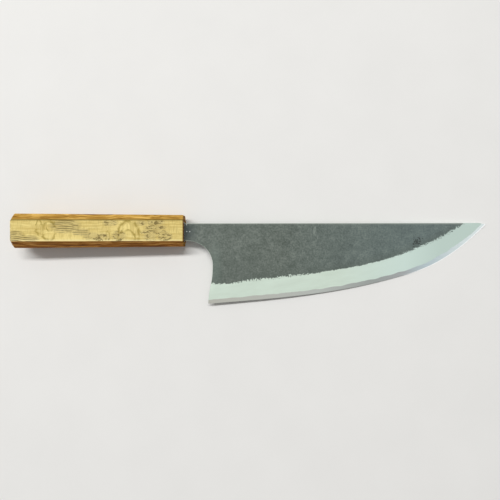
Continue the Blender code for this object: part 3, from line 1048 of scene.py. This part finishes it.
def over_border(tree, place, reach, above):
    """Height over the ragged border of the scale, from the height above the bevel line."""
    wander = unevenness(tree, place, WANDER_WIDTH, WANDER_REACH)
    lifted = soft_patch(tree, place, *HEEL_CORNER)
    sagged = soft_patch(tree, place, *HEEL_SAG)
    line_end = bevel_end.x / MM
    past_end = add_node(tree, "MapRange", {"From": (line_end, line_end + PAST_END), "To": (0.0, -PAST_END)},
                        {"Value": reach})
    height = above
    for swing in (border_teeth(tree, place, reach), wander, lifted, sagged, past_end):
        height = add_node(tree, "Math", SUM, {"Value": height, "Value_001": swing})
    return height


def scale_cover(tree, place, height):
    """Where scale is left, from 0 for bare iron to 1: above the border and off the worn arrises."""
    kept = add_node(tree, "MapRange", {"From": (-BORDER_BLUR, BORDER_BLUR)}, {"Value": height})
    wear = unevenness(tree, place, WEAR_WIDTH, WEAR_SWING)
    square = add_node(tree, "Math", SUM, {"Value": faces_along(tree, outward), "Value_001": wear})
    flat = add_node(tree, "MapRange", {"From": WORN_ARRIS}, {"Value": square})
    return add_node(tree, "Math", PRODUCT, {"Value": kept, "Value_001": flat})


# %% [markdown]
# Scale isn't plain black. Clouds of three sizes give its blotches, greener by the heel and bluer by the
# tip. Over that lie broad stains: a darker rim along the border, a shaded patch and a blued one. Beside
# the handle a dark patch is painted shadow, where the handle shades the neck. Each patch is written as
# its middle, its half widths and its strength.

# %% Tone of the scale
SCALE_CLOUDS = (15.0, 0.34, 2.0), (4.0, 0.48, 3.0), (1.2, 0.75, 3.0)
HEEL_TONES = (0.0, "333E35"), (0.5, "555E56"), (1.0, "727A72")
TIP_TONES = (0.0, "434F4F"), (0.5, "596764"), (1.0, "6E7C77")
TOWARDS_TIP = 70.0, 175.0
BORDER_RIM = 6.0, 0.0
RIM_COVER = 0.0, 0.45
SHADED = (42.0, -29.0, 1.5), (26.0, 15.0, 6.0), 0.32
BLUED = (22.5, -26.0, 1.5), (6.0, 24.0, 6.0), 0.5
# Painted shadow of the handle, dark on the neck beside the mouth.
HANDLE_SHADOW = (2.0, -0.5, 1.5), (10.0, 12.0, 6.0), 0.9


def scale_tone(tree, place, reach, height):
    """Blotched oxide with its broad stains, and a painted shadow of the handle on the neck."""
    tone, *finer = [unevenness(tree, place, *cloud) for cloud in SCALE_CLOUDS]
    for cloud in finer:
        tone = add_node(tree, "Math", SUM, {"Value": tone, "Value_001": cloud})
    tone = add_node(tree, "Math", {**SUM, "Value_001": 0.5}, {"Value": tone})
    by_heel = add_node(tree, "ValToRGB", {"stops": HEEL_TONES}, {"Fac": tone})
    by_tip = add_node(tree, "ValToRGB", {"stops": TIP_TONES}, {"Fac": tone})
    tip_share = add_node(tree, "MapRange", {"From": TOWARDS_TIP}, {"Value": reach})
    rim = add_node(tree, "MapRange", {"From": BORDER_RIM, "To": RIM_COVER}, {"Value": height})
    # The last coat is the painted shadow of the handle on the neck.
    return lay_coats(tree, by_heel, (tip_share, by_tip), (rim, "465048"),
                     (soft_patch(tree, place, *SHADED), "48514A"),
                     (soft_patch(tree, place, *BLUED), "64736A"),
                     (soft_patch(tree, place, *HANDLE_SHADOW), "384342"))


# %% [markdown]
# Then come the small marks. Pits are black, and they crowd near the tip. Upright rubbed spots show grey
# where the skin is worn thin. A dark brown line runs along the steel at the handle's mouth, the top of
# the spine is painted pale as a highlight along its rounded arris, and three pale specks sit on the
# neck. Real pits are a tenth of a millimetre or two across, too fine for the picture, so they are drawn
# as coarse as they need to show.

# %% Marks on the scale
PIT_CLOUD = 1.2
PIT_LEVEL = 0.74, 0.82
PITTED = (169.0, -8.0, 1.5), (6.5, 7.0, 6.0), 0.4
RUB_MARK = 0.8333, 4.0, 4.0
RUB_LEVEL = 0.66, 0.85
RUBBED = (95.0, -1.0, 1.5), (4.5, 9.0, 6.0), 0.3
# A dark brown line on the steel along the handle's mouth, darkest against the handle.
MOUTH_LINE = 1.2, 0.4
# Painted highlight: the top of the spine is painted pale along its rounded arris.
SPINE_HIGHLIGHT = SPINE_HEIGHT / MM - 0.9, SPINE_HEIGHT / MM - 0.1
# Three pale specks on the neck.
PALE_SPECKS = (1.8, 4.5), (1.9, -0.4), (4.1, -0.5)
PALE_SPECK_SIZE = 0.65, 0.55, 2.0
PALE_SPECK_LEVEL = 0.1, 0.5


def marked_scale(tree, place, axes, skin):
    """The scale with its pits, rubbed spots, a dark line at the mouth, a painted highlight along the spine
    and pale specks.
    """
    pits = add_node(tree, "TexNoise", {"Scale": 1 / PIT_CLOUD, "Detail": 1.0}, {"Vector": place})
    pits = add_node(tree, "Math", SUM, {"Value": pits, "Value_001": soft_patch(tree, place, *PITTED)})
    rub_place = add_node(tree, "Mapping", {"vector_type": "TEXTURE", "Scale": RUB_MARK}, {"Vector": place})
    rub = add_node(tree, "TexNoise", {"Scale": 1.0, "Detail": 3.0}, {"Vector": rub_place})
    rub = add_node(tree, "Math", SUM, {"Value": rub, "Value_001": soft_patch(tree, place, *RUBBED)})
    pale_specks = strongest(tree, [soft_patch(tree, place, (x, y, 1.5), PALE_SPECK_SIZE) for x, y in PALE_SPECKS])
    marks = (
        (pits, PIT_LEVEL, 0.95, "1C2522"),
        (rub, RUB_LEVEL, 0.55, "8C958D"),
        (axes.outputs["X"], MOUTH_LINE, 0.8, "43382A"),
        # The pale coat on the top of the spine is a painted highlight.
        (axes.outputs["Y"], SPINE_HIGHLIGHT, 0.5, "A9AFA6"),
        (pale_specks, PALE_SPECK_LEVEL, 0.75, "DDE3DF"),
    )
    for value, level, most, code in marks:
        cover = add_node(tree, "MapRange", {"From": level, "To": (0.0, most)}, {"Value": value})
        skin = lay_coats(tree, skin, (cover, code))
    return skin


# %% [markdown]
# Ground iron is pale and satin, with a long haze that follows the bevel line, as the wheel did. It is a
# little bluer where the bevel curves up, and duller in its last stretch.

# %% Ground iron
HAZE_SIZE = 22.22, 5.0, 1.0
CURVED_STRETCH = 110.0, 160.0
LAST_STRETCH = 160.0, 185.0


def ground_tone(tree, reach, above):
    """Pale ground iron with a haze along the bevel."""
    haze = add_node(tree, "CombineXYZ", links={"X": reach, "Y": above})
    haze = add_node(tree, "Mapping", {"vector_type": "TEXTURE", "Scale": HAZE_SIZE}, {"Vector": haze})
    haze = add_node(tree, "TexNoise", {"Scale": 1.0, "Detail": 4.0, "Roughness": 0.6}, {"Vector": haze})
    iron = add_node(tree, "ValToRGB", {"stops": ((0.3, "BDCABD"), (0.7, "C5D3C6"))}, {"Fac": haze})
    for stretch, code in ((CURVED_STRETCH, "C0D1C9"), (LAST_STRETCH, "B5C6BE")):
        share = add_node(tree, "MapRange", {"From": stretch}, {"Value": reach})
        iron = lay_coats(tree, iron, (share, code))
    return iron


# %% [markdown]
# One material holds the scale and the ground iron, because they are one piece of iron. Oxide isn't a
# metal to the eye: it is dull and faintly gritty. The bare iron is metal with a satin gloss and fine
# scratches along the blade. Real grit and scratches are under a tenth of a millimetre, so both are drawn
# coarser, just as fine as the picture can still show.

# %% Forge scale on ground iron
GRIT_SIZE = 0.5
SCRATCH_SIZE = 20.0, 0.25, 0.25
IRON_ROUGHNESS = 0.36
SCALE_ROUGHNESS = 0.62
RELIEF = 0.03 * MM


def make_clad_iron():
    """Forge scale that stops raggedly at the bevel line, and satin ground iron below it."""
    material, tree = new_material("forge_scale_on_ground_iron")
    place = knife_place(tree)
    axes = add_node(tree, "SeparateXYZ", links={"Vector": place})
    reach = axes.outputs["X"]
    above = add_node(tree, "Math", {"operation": "SUBTRACT"},
                     {"Value": axes.outputs["Y"], "Value_001": bevel_height(tree, reach)})
    height = over_border(tree, place, reach, above)
    scale = scale_cover(tree, place, height)
    skin = marked_scale(tree, place, axes, scale_tone(tree, place, reach, height))
    bare = ground_tone(tree, reach, above)
    grit = add_node(tree, "TexNoise", {"Scale": 1 / GRIT_SIZE, "Detail": 3.0}, {"Vector": place})
    scratch = add_node(tree, "Mapping", {"vector_type": "TEXTURE", "Scale": SCRATCH_SIZE}, {"Vector": place})
    scratch = add_node(tree, "TexNoise", {"Scale": 1.0, "Detail": 3.0}, {"Vector": scratch})
    relief = add_node(tree, "Mix", links={"Factor": scale, "A": scratch, "B": grit})
    shader = add_node(tree, "BsdfPrincipled", links={
        "Base Color": lay_coats(tree, bare, (scale, skin)),
        "Metallic": add_node(tree, "Math", {"operation": "SUBTRACT", "Value": 1.0}, {"Value_001": scale}),
        "Roughness": add_node(tree, "Mix", {"A": IRON_ROUGHNESS, "B": SCALE_ROUGHNESS}, {"Factor": scale}),
        "Normal": add_node(tree, "Bump", {"Strength": 0.25, "Distance": RELIEF}, {"Height": relief}),
    })
    add_node(tree, "OutputMaterial", links={"Surface": shader})
    return material


clad_iron = make_clad_iron()
print("material:", clad_iron.name, "with", len(clad_iron.node_tree.nodes), "nodes")

# %% [markdown]
# Core steel. The hard middle layer takes a finer polish than the iron and looks greyer beside it. Along
# the blade its colour carries a painted reflection: darker along the belly and brighter towards the tip.
# The whetted facet at the very edge is the brightest place on the knife, a painted highlight by the tip,
# and it is told from the bevel by how it leans.

# %% Core steel
STREAK_SIZE = 33.33, 0.6667, 0.6667
CORE_REACH = 20.0, 210.0
# Painted reflection: the core's colour darkens along the belly and brightens towards the tip.
CORE_REFLECTION_TONES = (
    (0.0, "B1B1A8"), (0.4, "B0B4AF"), (0.62, "969B98"), (0.72, "9FA2A2"), (0.82, "B0BEC2"), (1.0, "D5DFDE"),
)
FACET_LEAN = 0.9955, 0.9935
# Painted highlight: the whetted facet turns near white from here towards the tip.
FACET_HIGHLIGHT_REACH = 158.0, 172.0
CORE_ROUGHNESS = 0.24, 0.32


def make_core_steel():
    """Polished hard steel whose colour holds a painted reflection along the blade, with a painted highlight
    on the whetted facet by the tip.
    """
    material, tree = new_material("polished_carbon_steel")
    place = knife_place(tree)
    axes = add_node(tree, "SeparateXYZ", links={"Vector": place})
    streak_place = add_node(tree, "Mapping", {"vector_type": "TEXTURE", "Scale": STREAK_SIZE},
                            {"Vector": place})
    streak = add_node(tree, "TexNoise", {"Scale": 1.0, "Detail": 4.0}, {"Vector": streak_place})
    reach = add_node(tree, "MapRange", {"From": CORE_REACH}, {"Value": axes.outputs["X"]})
    uneven = unevenness(tree, streak_place, 1.0, 0.05)
    reach = add_node(tree, "Math", SUM, {"Value": reach, "Value_001": uneven})
    # The ramp along the blade paints a reflection into the steel's colour.
    steel = add_node(tree, "ValToRGB", {"stops": CORE_REFLECTION_TONES}, {"Fac": reach})
    whetted = add_node(tree, "MapRange", {"From": FACET_LEAN}, {"Value": faces_along(tree, outward)})
    by_tip = add_node(tree, "MapRange", {"From": FACET_HIGHLIGHT_REACH}, {"Value": axes.outputs["X"]})
    facet = add_node(tree, "Math", PRODUCT, {"Value": whetted, "Value_001": by_tip})
    # The near white coat on the whetted facet is a painted highlight.
    shader = add_node(tree, "BsdfPrincipled", {"Metallic": 1.0}, {
        "Base Color": lay_coats(tree, steel, (facet, "F6F7F7")),
        "Roughness": add_node(tree, "MapRange", {"To": CORE_ROUGHNESS}, {"Value": streak}),
    })
    add_node(tree, "OutputMaterial", links={"Surface": shader})
    return material


core_steel = make_core_steel()
print("material:", core_steel.name, "with", len(core_steel.node_tree.nodes), "nodes")

# %% [markdown]
# Quartersawn oak. The board was cut so that the broad sides of the handle show the rings edge-on, as fine
# straight lines. No tree is quite straight, so the coordinates that the grain follows sway by a few
# millimetres, and those of the figure that crosses it are crooked on a smaller scale.

# %% Sway of the grain
SWAY_LENGTH = 22.0
SWAY = 0.0, 5.0, 5.0
CROOK_LENGTH = 3.0
CROOK = Vector((4.0, 4.0, 0.0))


def swaying(tree, place):
    """Coordinates that sway up and out of the handle, as the grain of a tree does."""
    slow = add_node(tree, "TexNoise", {"Scale": 1 / SWAY_LENGTH, "Detail": 2.0}, {"Vector": place})
    return add_node(tree, "VectorMath", {"operation": "MULTIPLY_ADD", "Vector_001": SWAY},
                    {"Vector": slow.outputs["Color"], "Vector_002": place})


def crooking(tree, place):
    """Coordinates that jitter along and up the handle, about where they were."""
    jitter = add_node(tree, "TexNoise", {"Scale": 1 / CROOK_LENGTH, "Detail": 2.0}, {"Vector": place})
    moved = add_node(tree, "VectorMath", {"operation": "MULTIPLY_ADD", "Vector_001": CROOK},
                     {"Vector": jitter.outputs["Color"], "Vector_002": place})
    return add_node(tree, "VectorMath", {"operation": "SUBTRACT", "Vector_001": CROOK / 2}, {"Vector": moved})


print("grain sways by up to", max(SWAY), "mm")

# %% [markdown]
# The pores are short dark grooves that crowd in places. Each row below is one crowd on the broad side:
# its middle along and up the handle, and its half widths. Towards the butt the grooves are long dashes
# in rows that follow the rings, and nearer to the blade they are short and loose. A real pore is a
# quarter of a millimetre wide, about a third of a pixel, so rows and grooves are drawn coarser. One band
# of a Wave texture is pi / 10 units wide at scale 1, and that factor turns a spacing into a scale.

# %% Pores
PORE_CROWDS = (
    (-119.0, -4.5, 9.0, 5.5), (-108.0, -5.8, 8.0, 2.6), (-83.0, 3.4, 13.0, 6.5), (-72.0, -1.2, 8.0, 3.2),
    (-64.0, -4.0, 8.0, 3.4), (-57.0, -5.0, 7.0, 4.0), (-51.5, 5.6, 6.5, 3.2), (-45.0, -4.0, 6.0, 5.0),
    (-29.5, 5.3, 5.0, 2.6), (-19.5, 5.6, 8.0, 3.4), (-19.5, 2.2, 9.0, 2.6), (-20.5, -1.0, 12.0, 2.6),
    (-23.5, -4.2, 6.0, 3.8), (-12.5, -4.2, 6.5, 4.0),
)
FACE_DEPTH = 10.0
PATCH_DEPTH = 30.0
PORE_WAVE = math.pi / 10
PORE_SPACING = 1.3
ROW_SIZE = 6.667, 1.0, 1.0
DASH_SIZE = 7.143, 1.1111, 1.1111
SHORT_PORE = 3.3333, 0.9091, 0.9091
SHORT_FROM = -69.0, -64.0
ROW_LEVEL = 0.5, 0.2
DASH_LEVEL = 0.4, 0.48
GROOVE_LEVEL = 0.53, 0.59
CROWD_LEVEL = 0.05, 0.4


def on_broad_side(tree, place, table):
    """Soft patches on the broad side, each given by its middle and half widths along and up."""
    return [soft_patch(tree, place, (x, y, FACE_DEPTH), (half_x, half_y, PATCH_DEPTH))
            for x, y, half_x, half_y in table]


def long_pores(tree, sway):
    """Long dashes in rows."""
    rows = add_node(tree, "Mapping", {"vector_type": "TEXTURE", "Scale": ROW_SIZE}, {"Vector": sway})
    rows = add_node(tree, "TexWave", {"bands_direction": "Y", "Scale": PORE_WAVE / PORE_SPACING,
                                      "Distortion": 3.0, "Detail": 1.0, "Detail Scale": 1.5},
                    {"Vector": rows})
    rows = add_node(tree, "MapRange", {"From": ROW_LEVEL}, {"Value": rows.outputs["Fac"]})
    dashes = add_node(tree, "Mapping", {"vector_type": "TEXTURE", "Scale": DASH_SIZE}, {"Vector": sway})
    dashes = add_node(tree, "TexNoise", {"Scale": 1.0, "Detail": 2.0, "Roughness": 0.5}, {"Vector": dashes})
    dashes = add_node(tree, "MapRange", {"From": DASH_LEVEL}, {"Value": dashes})
    return add_node(tree, "Math", PRODUCT, {"Value": rows, "Value_001": dashes})


def short_pores(tree, crooked):
    """Short loose grooves."""
    grooves = add_node(tree, "Mapping", {"vector_type": "TEXTURE", "Scale": SHORT_PORE}, {"Vector": crooked})
    grooves = add_node(tree, "TexNoise", {"Scale": 1.0, "Detail": 2.0, "Roughness": 0.5}, {"Vector": grooves})
    return add_node(tree, "MapRange", {"From": GROOVE_LEVEL}, {"Value": grooves})


def make_pores(tree, place, sway, crooked, reach):
    """Where pores crowd, and the open pores in those crowds."""
    by_blade = add_node(tree, "MapRange", {"From": SHORT_FROM}, {"Value": reach})
    grooves = add_node(tree, "Mix", links={"Factor": by_blade, "A": long_pores(tree, sway),
                                           "B": short_pores(tree, crooked)})
    crowded = strongest(tree, on_broad_side(tree, place, PORE_CROWDS))
    crowded = add_node(tree, "MapRange", {"From": CROWD_LEVEL}, {"Value": crowded})
    return crowded, add_node(tree, "Math", PRODUCT, {"Value": grooves, "Value_001": crowded})


print(len(PORE_CROWDS), "crowds of pores")

# %% [markdown]
# Rays are sheets of cells that run out from the tree's heart. Cut along their flat side they show as
# ribbons and loops. A loop is drawn as a thin ring inside a soft patch, and it fades in places. Smaller
# flakes and fine cross marks lie between the loops, and some parts of the face are paler.

# %% Rays and flakes
RAY_LOOPS = (
    (-101.5, 2.5, 3.4, 7.5), (-94.5, 0.0, 6.6, 10.5), (-94.0, 3.0, 4.0, 4.6), (-53.0, -5.0, 2.0, 6.4),
    (-39.5, -5.0, 8.3, 7.7), (-38.5, -3.0, 10.7, 13.7),
)
RING_LEVEL = 0.3
RING_BREADTH = 0.16, 0.03
FADE_LENGTH = 3.5
FADE_LEVEL = 0.3, 0.55
LOOP_COVER = 0.0, 0.8
FLAKE_SIZE = 2.5, 7.692, 7.692
FLAKE_LEVEL = 0.55, 0.68
FLAKE_COVER = 0.0, 0.32
CROSS_SIZE = 0.7692, 5.0, 5.0
CROSS_LEVEL = 0.48, 0.7
CROSS_COVER = 0.0, 0.38


def ray_loops(tree, place, crooked):
    """Crooked loops of ray that fade in places."""
    rings = []
    for patch in on_broad_side(tree, crooked, RAY_LOOPS):
        off = add_node(tree, "Math", {"operation": "SUBTRACT", "Value_001": RING_LEVEL}, {"Value": patch})
        off = add_node(tree, "Math", {"operation": "ABSOLUTE"}, {"Value": off})
        rings.append(add_node(tree, "MapRange", {"From": RING_BREADTH}, {"Value": off}))
    fading = add_node(tree, "TexNoise", {"Scale": 1 / FADE_LENGTH, "Detail": 2.0}, {"Vector": place})
    fading = add_node(tree, "MapRange", {"From": FADE_LEVEL, "To": LOOP_COVER}, {"Value": fading})
    return add_node(tree, "Math", PRODUCT, {"Value": strongest(tree, rings), "Value_001": fading})


def small_flakes(tree, crooked):
    """Small flakes of ray between the loops."""
    flakes = add_node(tree, "Mapping", {"vector_type": "TEXTURE", "Scale": FLAKE_SIZE}, {"Vector": crooked})
    flakes = add_node(tree, "TexNoise", {"Scale": 1.0, "Detail": 2.0}, {"Vector": flakes})
    return add_node(tree, "MapRange", {"From": FLAKE_LEVEL, "To": FLAKE_COVER}, {"Value": flakes})


def cross_marks(tree, place):
    """Fine marks across the grain."""
    marks = add_node(tree, "Mapping", {"vector_type": "TEXTURE", "Scale": CROSS_SIZE}, {"Vector": place})
    marks = add_node(tree, "TexNoise", {"Scale": 1.0, "Detail": 2.0}, {"Vector": marks})
    return add_node(tree, "MapRange", {"From": CROSS_LEVEL, "To": CROSS_COVER}, {"Value": marks})


print(len(RAY_LOOPS), "loops of ray")

# %% [markdown]
# On the broad side the wood is straw-coloured in long bands, with the flakes, crowds, rays and pores as
# coats over it, and a painted highlight as a pale rim along its lower arris. On the four planed corners
# the cut is oblique: no ribbons there, but a deeper golden brown and longer streaks. The corners that
# look down are painted darker, as painted shade.

# %% Broad side and planed corners
BAND_SIZE = 28.57, 1.1111, 1.1111
PALE_PARTS = (-80.0, -5.0, 34.0, 6.0), (-40.0, 2.0, 14.0, 8.0)
LOWER_ARRIS = -7.5
# Painted highlight: a pale rim along the lower arris of the broad side.
HIGHLIGHT_RIM = LOWER_ARRIS + 1.5, LOWER_ARRIS + 0.4
HIGHLIGHT_RIM_COVER = 0.0, 0.6
UNDERNEATH = -0.35, -0.6
FACE_TONES = (0.3, "CAAF61"), (0.5, "DBC57A"), (0.7, "F0DC90")
CORNER_TONES = (0.36, "7E5614"), (0.5, "B88C3A"), (0.62, "E0B660")
# Painted shade: a darker copy of the corner tones, for the corners that look down.
SHADED_CORNER_TONES = (0.36, "563004"), (0.5, "8A5616"), (0.64, "B88848")


def broad_side(tree, place, crooked, height, bands, crowded, pores):
    """Straw-coloured wood with its flakes, rays and pores, and a painted highlight along its lower arris."""
    pale = strongest(tree, on_broad_side(tree, place, PALE_PARTS))
    shares = {}
    for name, value, most in (("pale", pale, 0.9), ("crowded", crowded, 0.32), ("pores", pores, 0.85)):
        shares[name] = add_node(tree, "Math", {**PRODUCT, "Value_001": most}, {"Value": value})
    # The rim is a painted highlight along the lower arris.
    rim = add_node(tree, "MapRange", {"From": HIGHLIGHT_RIM, "To": HIGHLIGHT_RIM_COVER}, {"Value": height})
    face = add_node(tree, "ValToRGB", {"stops": FACE_TONES}, {"Fac": bands})
    return lay_coats(tree, face, (shares["pale"], "F1DC8E"), (cross_marks(tree, place), "AE9A58"),
                     (small_flakes(tree, crooked), "B7A055"), (shares["crowded"], "AC9D70"),
                     (ray_loops(tree, place, crooked), "9C8638"), (rim, "F6E9AE"),
                     (shares["pores"], "6F5F34"))


def planed_corner(tree, bands):
    """Golden brown wood of the planed corners, with painted shade on those that look down."""
    corner = add_node(tree, "ValToRGB", {"stops": CORNER_TONES}, {"Fac": bands})
    # The darker copy is painted shade on the corners that look down.
    shaded_corner = add_node(tree, "ValToRGB", {"stops": SHADED_CORNER_TONES}, {"Fac": bands})
    spot = add_node(tree, "TexCoord")
    upward = add_node(tree, "VectorMath", {"operation": "DOT_PRODUCT", "Vector_001": upright},
                      {"Vector": spot.outputs["Normal"]})
    shaded_side = add_node(tree, "MapRange", {"From": UNDERNEATH}, {"Value": upward})
    return lay_coats(tree, corner, (shaded_side, shaded_corner))


print("bands", BAND_SIZE[0], "mm long and", round(BAND_SIZE[1], 1), "mm high")

# %% [markdown]
# The two ends show end grain. The rings are cut across there, as rows of open pores between dense wood,
# with pale rays that run from row to row. Open ends drink oil, so they are the darkest wood and have
# hardly any gloss. The pores are drawn coarser here too.

# %% End grain
RING_SPACING = 2.6
RING_SIZE = 10.0, 1.0, 8.333
RING_ROW = 0.6, 0.2
END_PORE = 0.7
END_PORE_LEVEL = 0.45, 0.25
END_PORE_COVER = 0.0, 0.9
END_RAY_LEVEL = 0.8, 1.0
END_RAY_COVER = 0.0, 0.4
END_TONES = (0.0, "7A4E14"), (1.0, "9C6C26")


def end_grain(tree, place, sway):
    """Rings cut across, with rows of pores and rays from row to row."""
    ring_place = add_node(tree, "Mapping", {"vector_type": "TEXTURE", "Scale": RING_SIZE}, {"Vector": sway})
    rings = add_node(tree, "TexWave", {"bands_direction": "Y", "Scale": PORE_WAVE / RING_SPACING,
                                       "Distortion": 2.0}, {"Vector": ring_place})
    row = add_node(tree, "MapRange", {"From": RING_ROW}, {"Value": rings.outputs["Fac"]})
    dots = add_node(tree, "TexVoronoi", {"Scale": 1 / END_PORE}, {"Vector": place})
    dots = add_node(tree, "MapRange", {"From": END_PORE_LEVEL, "To": END_PORE_COVER}, {"Value": dots})
    open_ends = add_node(tree, "Math", PRODUCT, {"Value": row, "Value_001": dots})
    rays = add_node(tree, "TexWave", {"bands_direction": "Z", "Scale": PORE_WAVE / PORE_SPACING,
                                      "Distortion": 1.5}, {"Vector": sway})
    rays = add_node(tree, "MapRange", {"From": END_RAY_LEVEL, "To": END_RAY_COVER},
                    {"Value": rays.outputs["Fac"]})
    grain = add_node(tree, "ValToRGB", {"stops": END_TONES}, {"Fac": rings.outputs["Fac"]})
    return lay_coats(tree, grain, (rays, "B88C48"), (open_ends, "402606"))


print("rings", RING_SPACING, "mm apart on the ends")

# %% [markdown]
# The oak is put together from these: the broad side where the surface looks out of the side, the corners
# where it leans up or down, a dark line of painted shade along the upper arris, and the end grain on the
# ends. Oil gives the wood a low gloss, and the pores are sunk a tenth of a millimetre.

# %% Oiled oak
# Painted shade: a dark line along the upper arris of the broad side.
UPPER_ARRIS = 7.7
SHADE_RIM = 1.0, 0.3
SHADE_RIM_COVER = 0.0, 0.7
BROAD_SIDE = 0.4, 0.2
END_FACE = 0.85, 0.95
PORE_DEPTH = 0.1 * MM
OAK_GLOSS = 0.14, 0.03
OAK_ROUGHNESS = 0.5, 0.65


def make_oak():
    """Oiled quartersawn oak with loops of ray, crowded pores and golden planed corners, with painted shade on
    the upper arris and the lower corners and a painted highlight on the lower arris.
    """
    material, tree = new_material("oiled_quartersawn_oak")
    place = knife_place(tree)
    axes = add_node(tree, "SeparateXYZ", links={"Vector": place})
    sway = swaying(tree, place)
    crooked = crooking(tree, place)
    crowded, pores = make_pores(tree, place, sway, crooked, axes.outputs["X"])
    bands = add_node(tree, "Mapping", {"vector_type": "TEXTURE", "Scale": BAND_SIZE}, {"Vector": sway})
    bands = add_node(tree, "TexNoise", {"Scale": 1.0, "Detail": 5.0, "Roughness": 0.6}, {"Vector": bands})
    broad = add_node(tree, "MapRange", {"From": BROAD_SIDE}, {"Value": faces_along(tree, upright)})
    ends = add_node(tree, "MapRange", {"From": END_FACE}, {"Value": faces_along(tree, along)})
    off_arris = add_node(tree, "Math", {"operation": "SUBTRACT", "Value_001": UPPER_ARRIS},
                         {"Value": axes.outputs["Y"]})
    off_arris = add_node(tree, "Math", {"operation": "ABSOLUTE"}, {"Value": off_arris})
    # A dark line of painted shade along the upper arris.
    painted_shade_rim = add_node(tree, "MapRange", {"From": SHADE_RIM, "To": SHADE_RIM_COVER}, {"Value": off_arris})
    face = broad_side(tree, place, crooked, axes.outputs["Y"], bands, crowded, pores)
    wood = lay_coats(tree, planed_corner(tree, bands), (broad, face), (painted_shade_rim, "6E5C1C"),
                     (ends, end_grain(tree, place, sway)))
    hollow_pores = add_node(tree, "Math", {"operation": "SUBTRACT", "Value": 1.0}, {"Value_001": pores})
    shader = add_node(tree, "BsdfPrincipled", links={
        "Base Color": wood,
        "Specular IOR Level": add_node(tree, "MapRange", {"To": OAK_GLOSS}, {"Value": ends}),
        "Roughness": add_node(tree, "MapRange", {"To": OAK_ROUGHNESS}, {"Value": bands}),
        "Normal": add_node(tree, "Bump", {"Strength": 0.5, "Distance": PORE_DEPTH}, {"Height": hollow_pores}),
    })
    add_node(tree, "OutputMaterial", links={"Surface": shader})
    return material


oak = make_oak()
print("material:", oak.name, "with", len(oak.node_tree.nodes), "nodes")

# %% [markdown]
# Hard resin: dark, smooth and slightly cloudy where dust settled while it cured.

# %% Resin
DUST_SIZE = 0.8
DUST_TONES = (0.45, "3A3F3E"), (0.7, "7F8785")
RESIN_ROUGHNESS = 0.2, 0.5


def make_resin():
    """Cured resin with a slight gloss and a cloud of dust."""
    material, tree = new_material("cured_epoxy")
    place = knife_place(tree)
    dust = add_node(tree, "TexNoise", {"Scale": 1 / DUST_SIZE, "Detail": 4.0}, {"Vector": place})
    shader = add_node(tree, "BsdfPrincipled", {"IOR": 1.55}, {
        "Base Color": add_node(tree, "ValToRGB", {"stops": DUST_TONES}, {"Fac": dust}),
        "Roughness": add_node(tree, "MapRange", {"To": RESIN_ROUGHNESS}, {"Value": dust}),
    })
    add_node(tree, "OutputMaterial", links={"Surface": shader})
    return material


resin_finish = make_resin()
print("material:", resin_finish.name, "with", len(resin_finish.node_tree.nodes), "nodes")

# %% [markdown]
# Last, each piece gets its finish and its tie to the frame. It rides on the imported body and hides the
# plain solid that it stands for.

# %% Dress the pieces
DRESS = (
    (core, core_steel, "core_steel", "core_steel"),
    (claddings[0], clad_iron, "cladding_upper", "clad_iron"),
    (claddings[1], clad_iron, "cladding_lower", "clad_iron"),
    (handle, oak, "handle", "oak"),
    (resin, resin_finish, "tang_bed", "resin"),
)
for piece, finish, node, slot_name in DRESS:
    piece.data.materials.clear()
    piece.data.materials.append(finish)
    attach(piece, "root")
    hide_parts(node)
    print(piece.name, "replaces", node, "in", finish.name)

# %% [markdown]
# The box of the finished knife is printed, in millimetres.

# %% Size of the finished knife
made_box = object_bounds()
for name, low, high in zip("XYZ", made_box[0], made_box[1]):
    print(name, "from", round(low / MM, 2), "to", round(high / MM, 2), "mm")
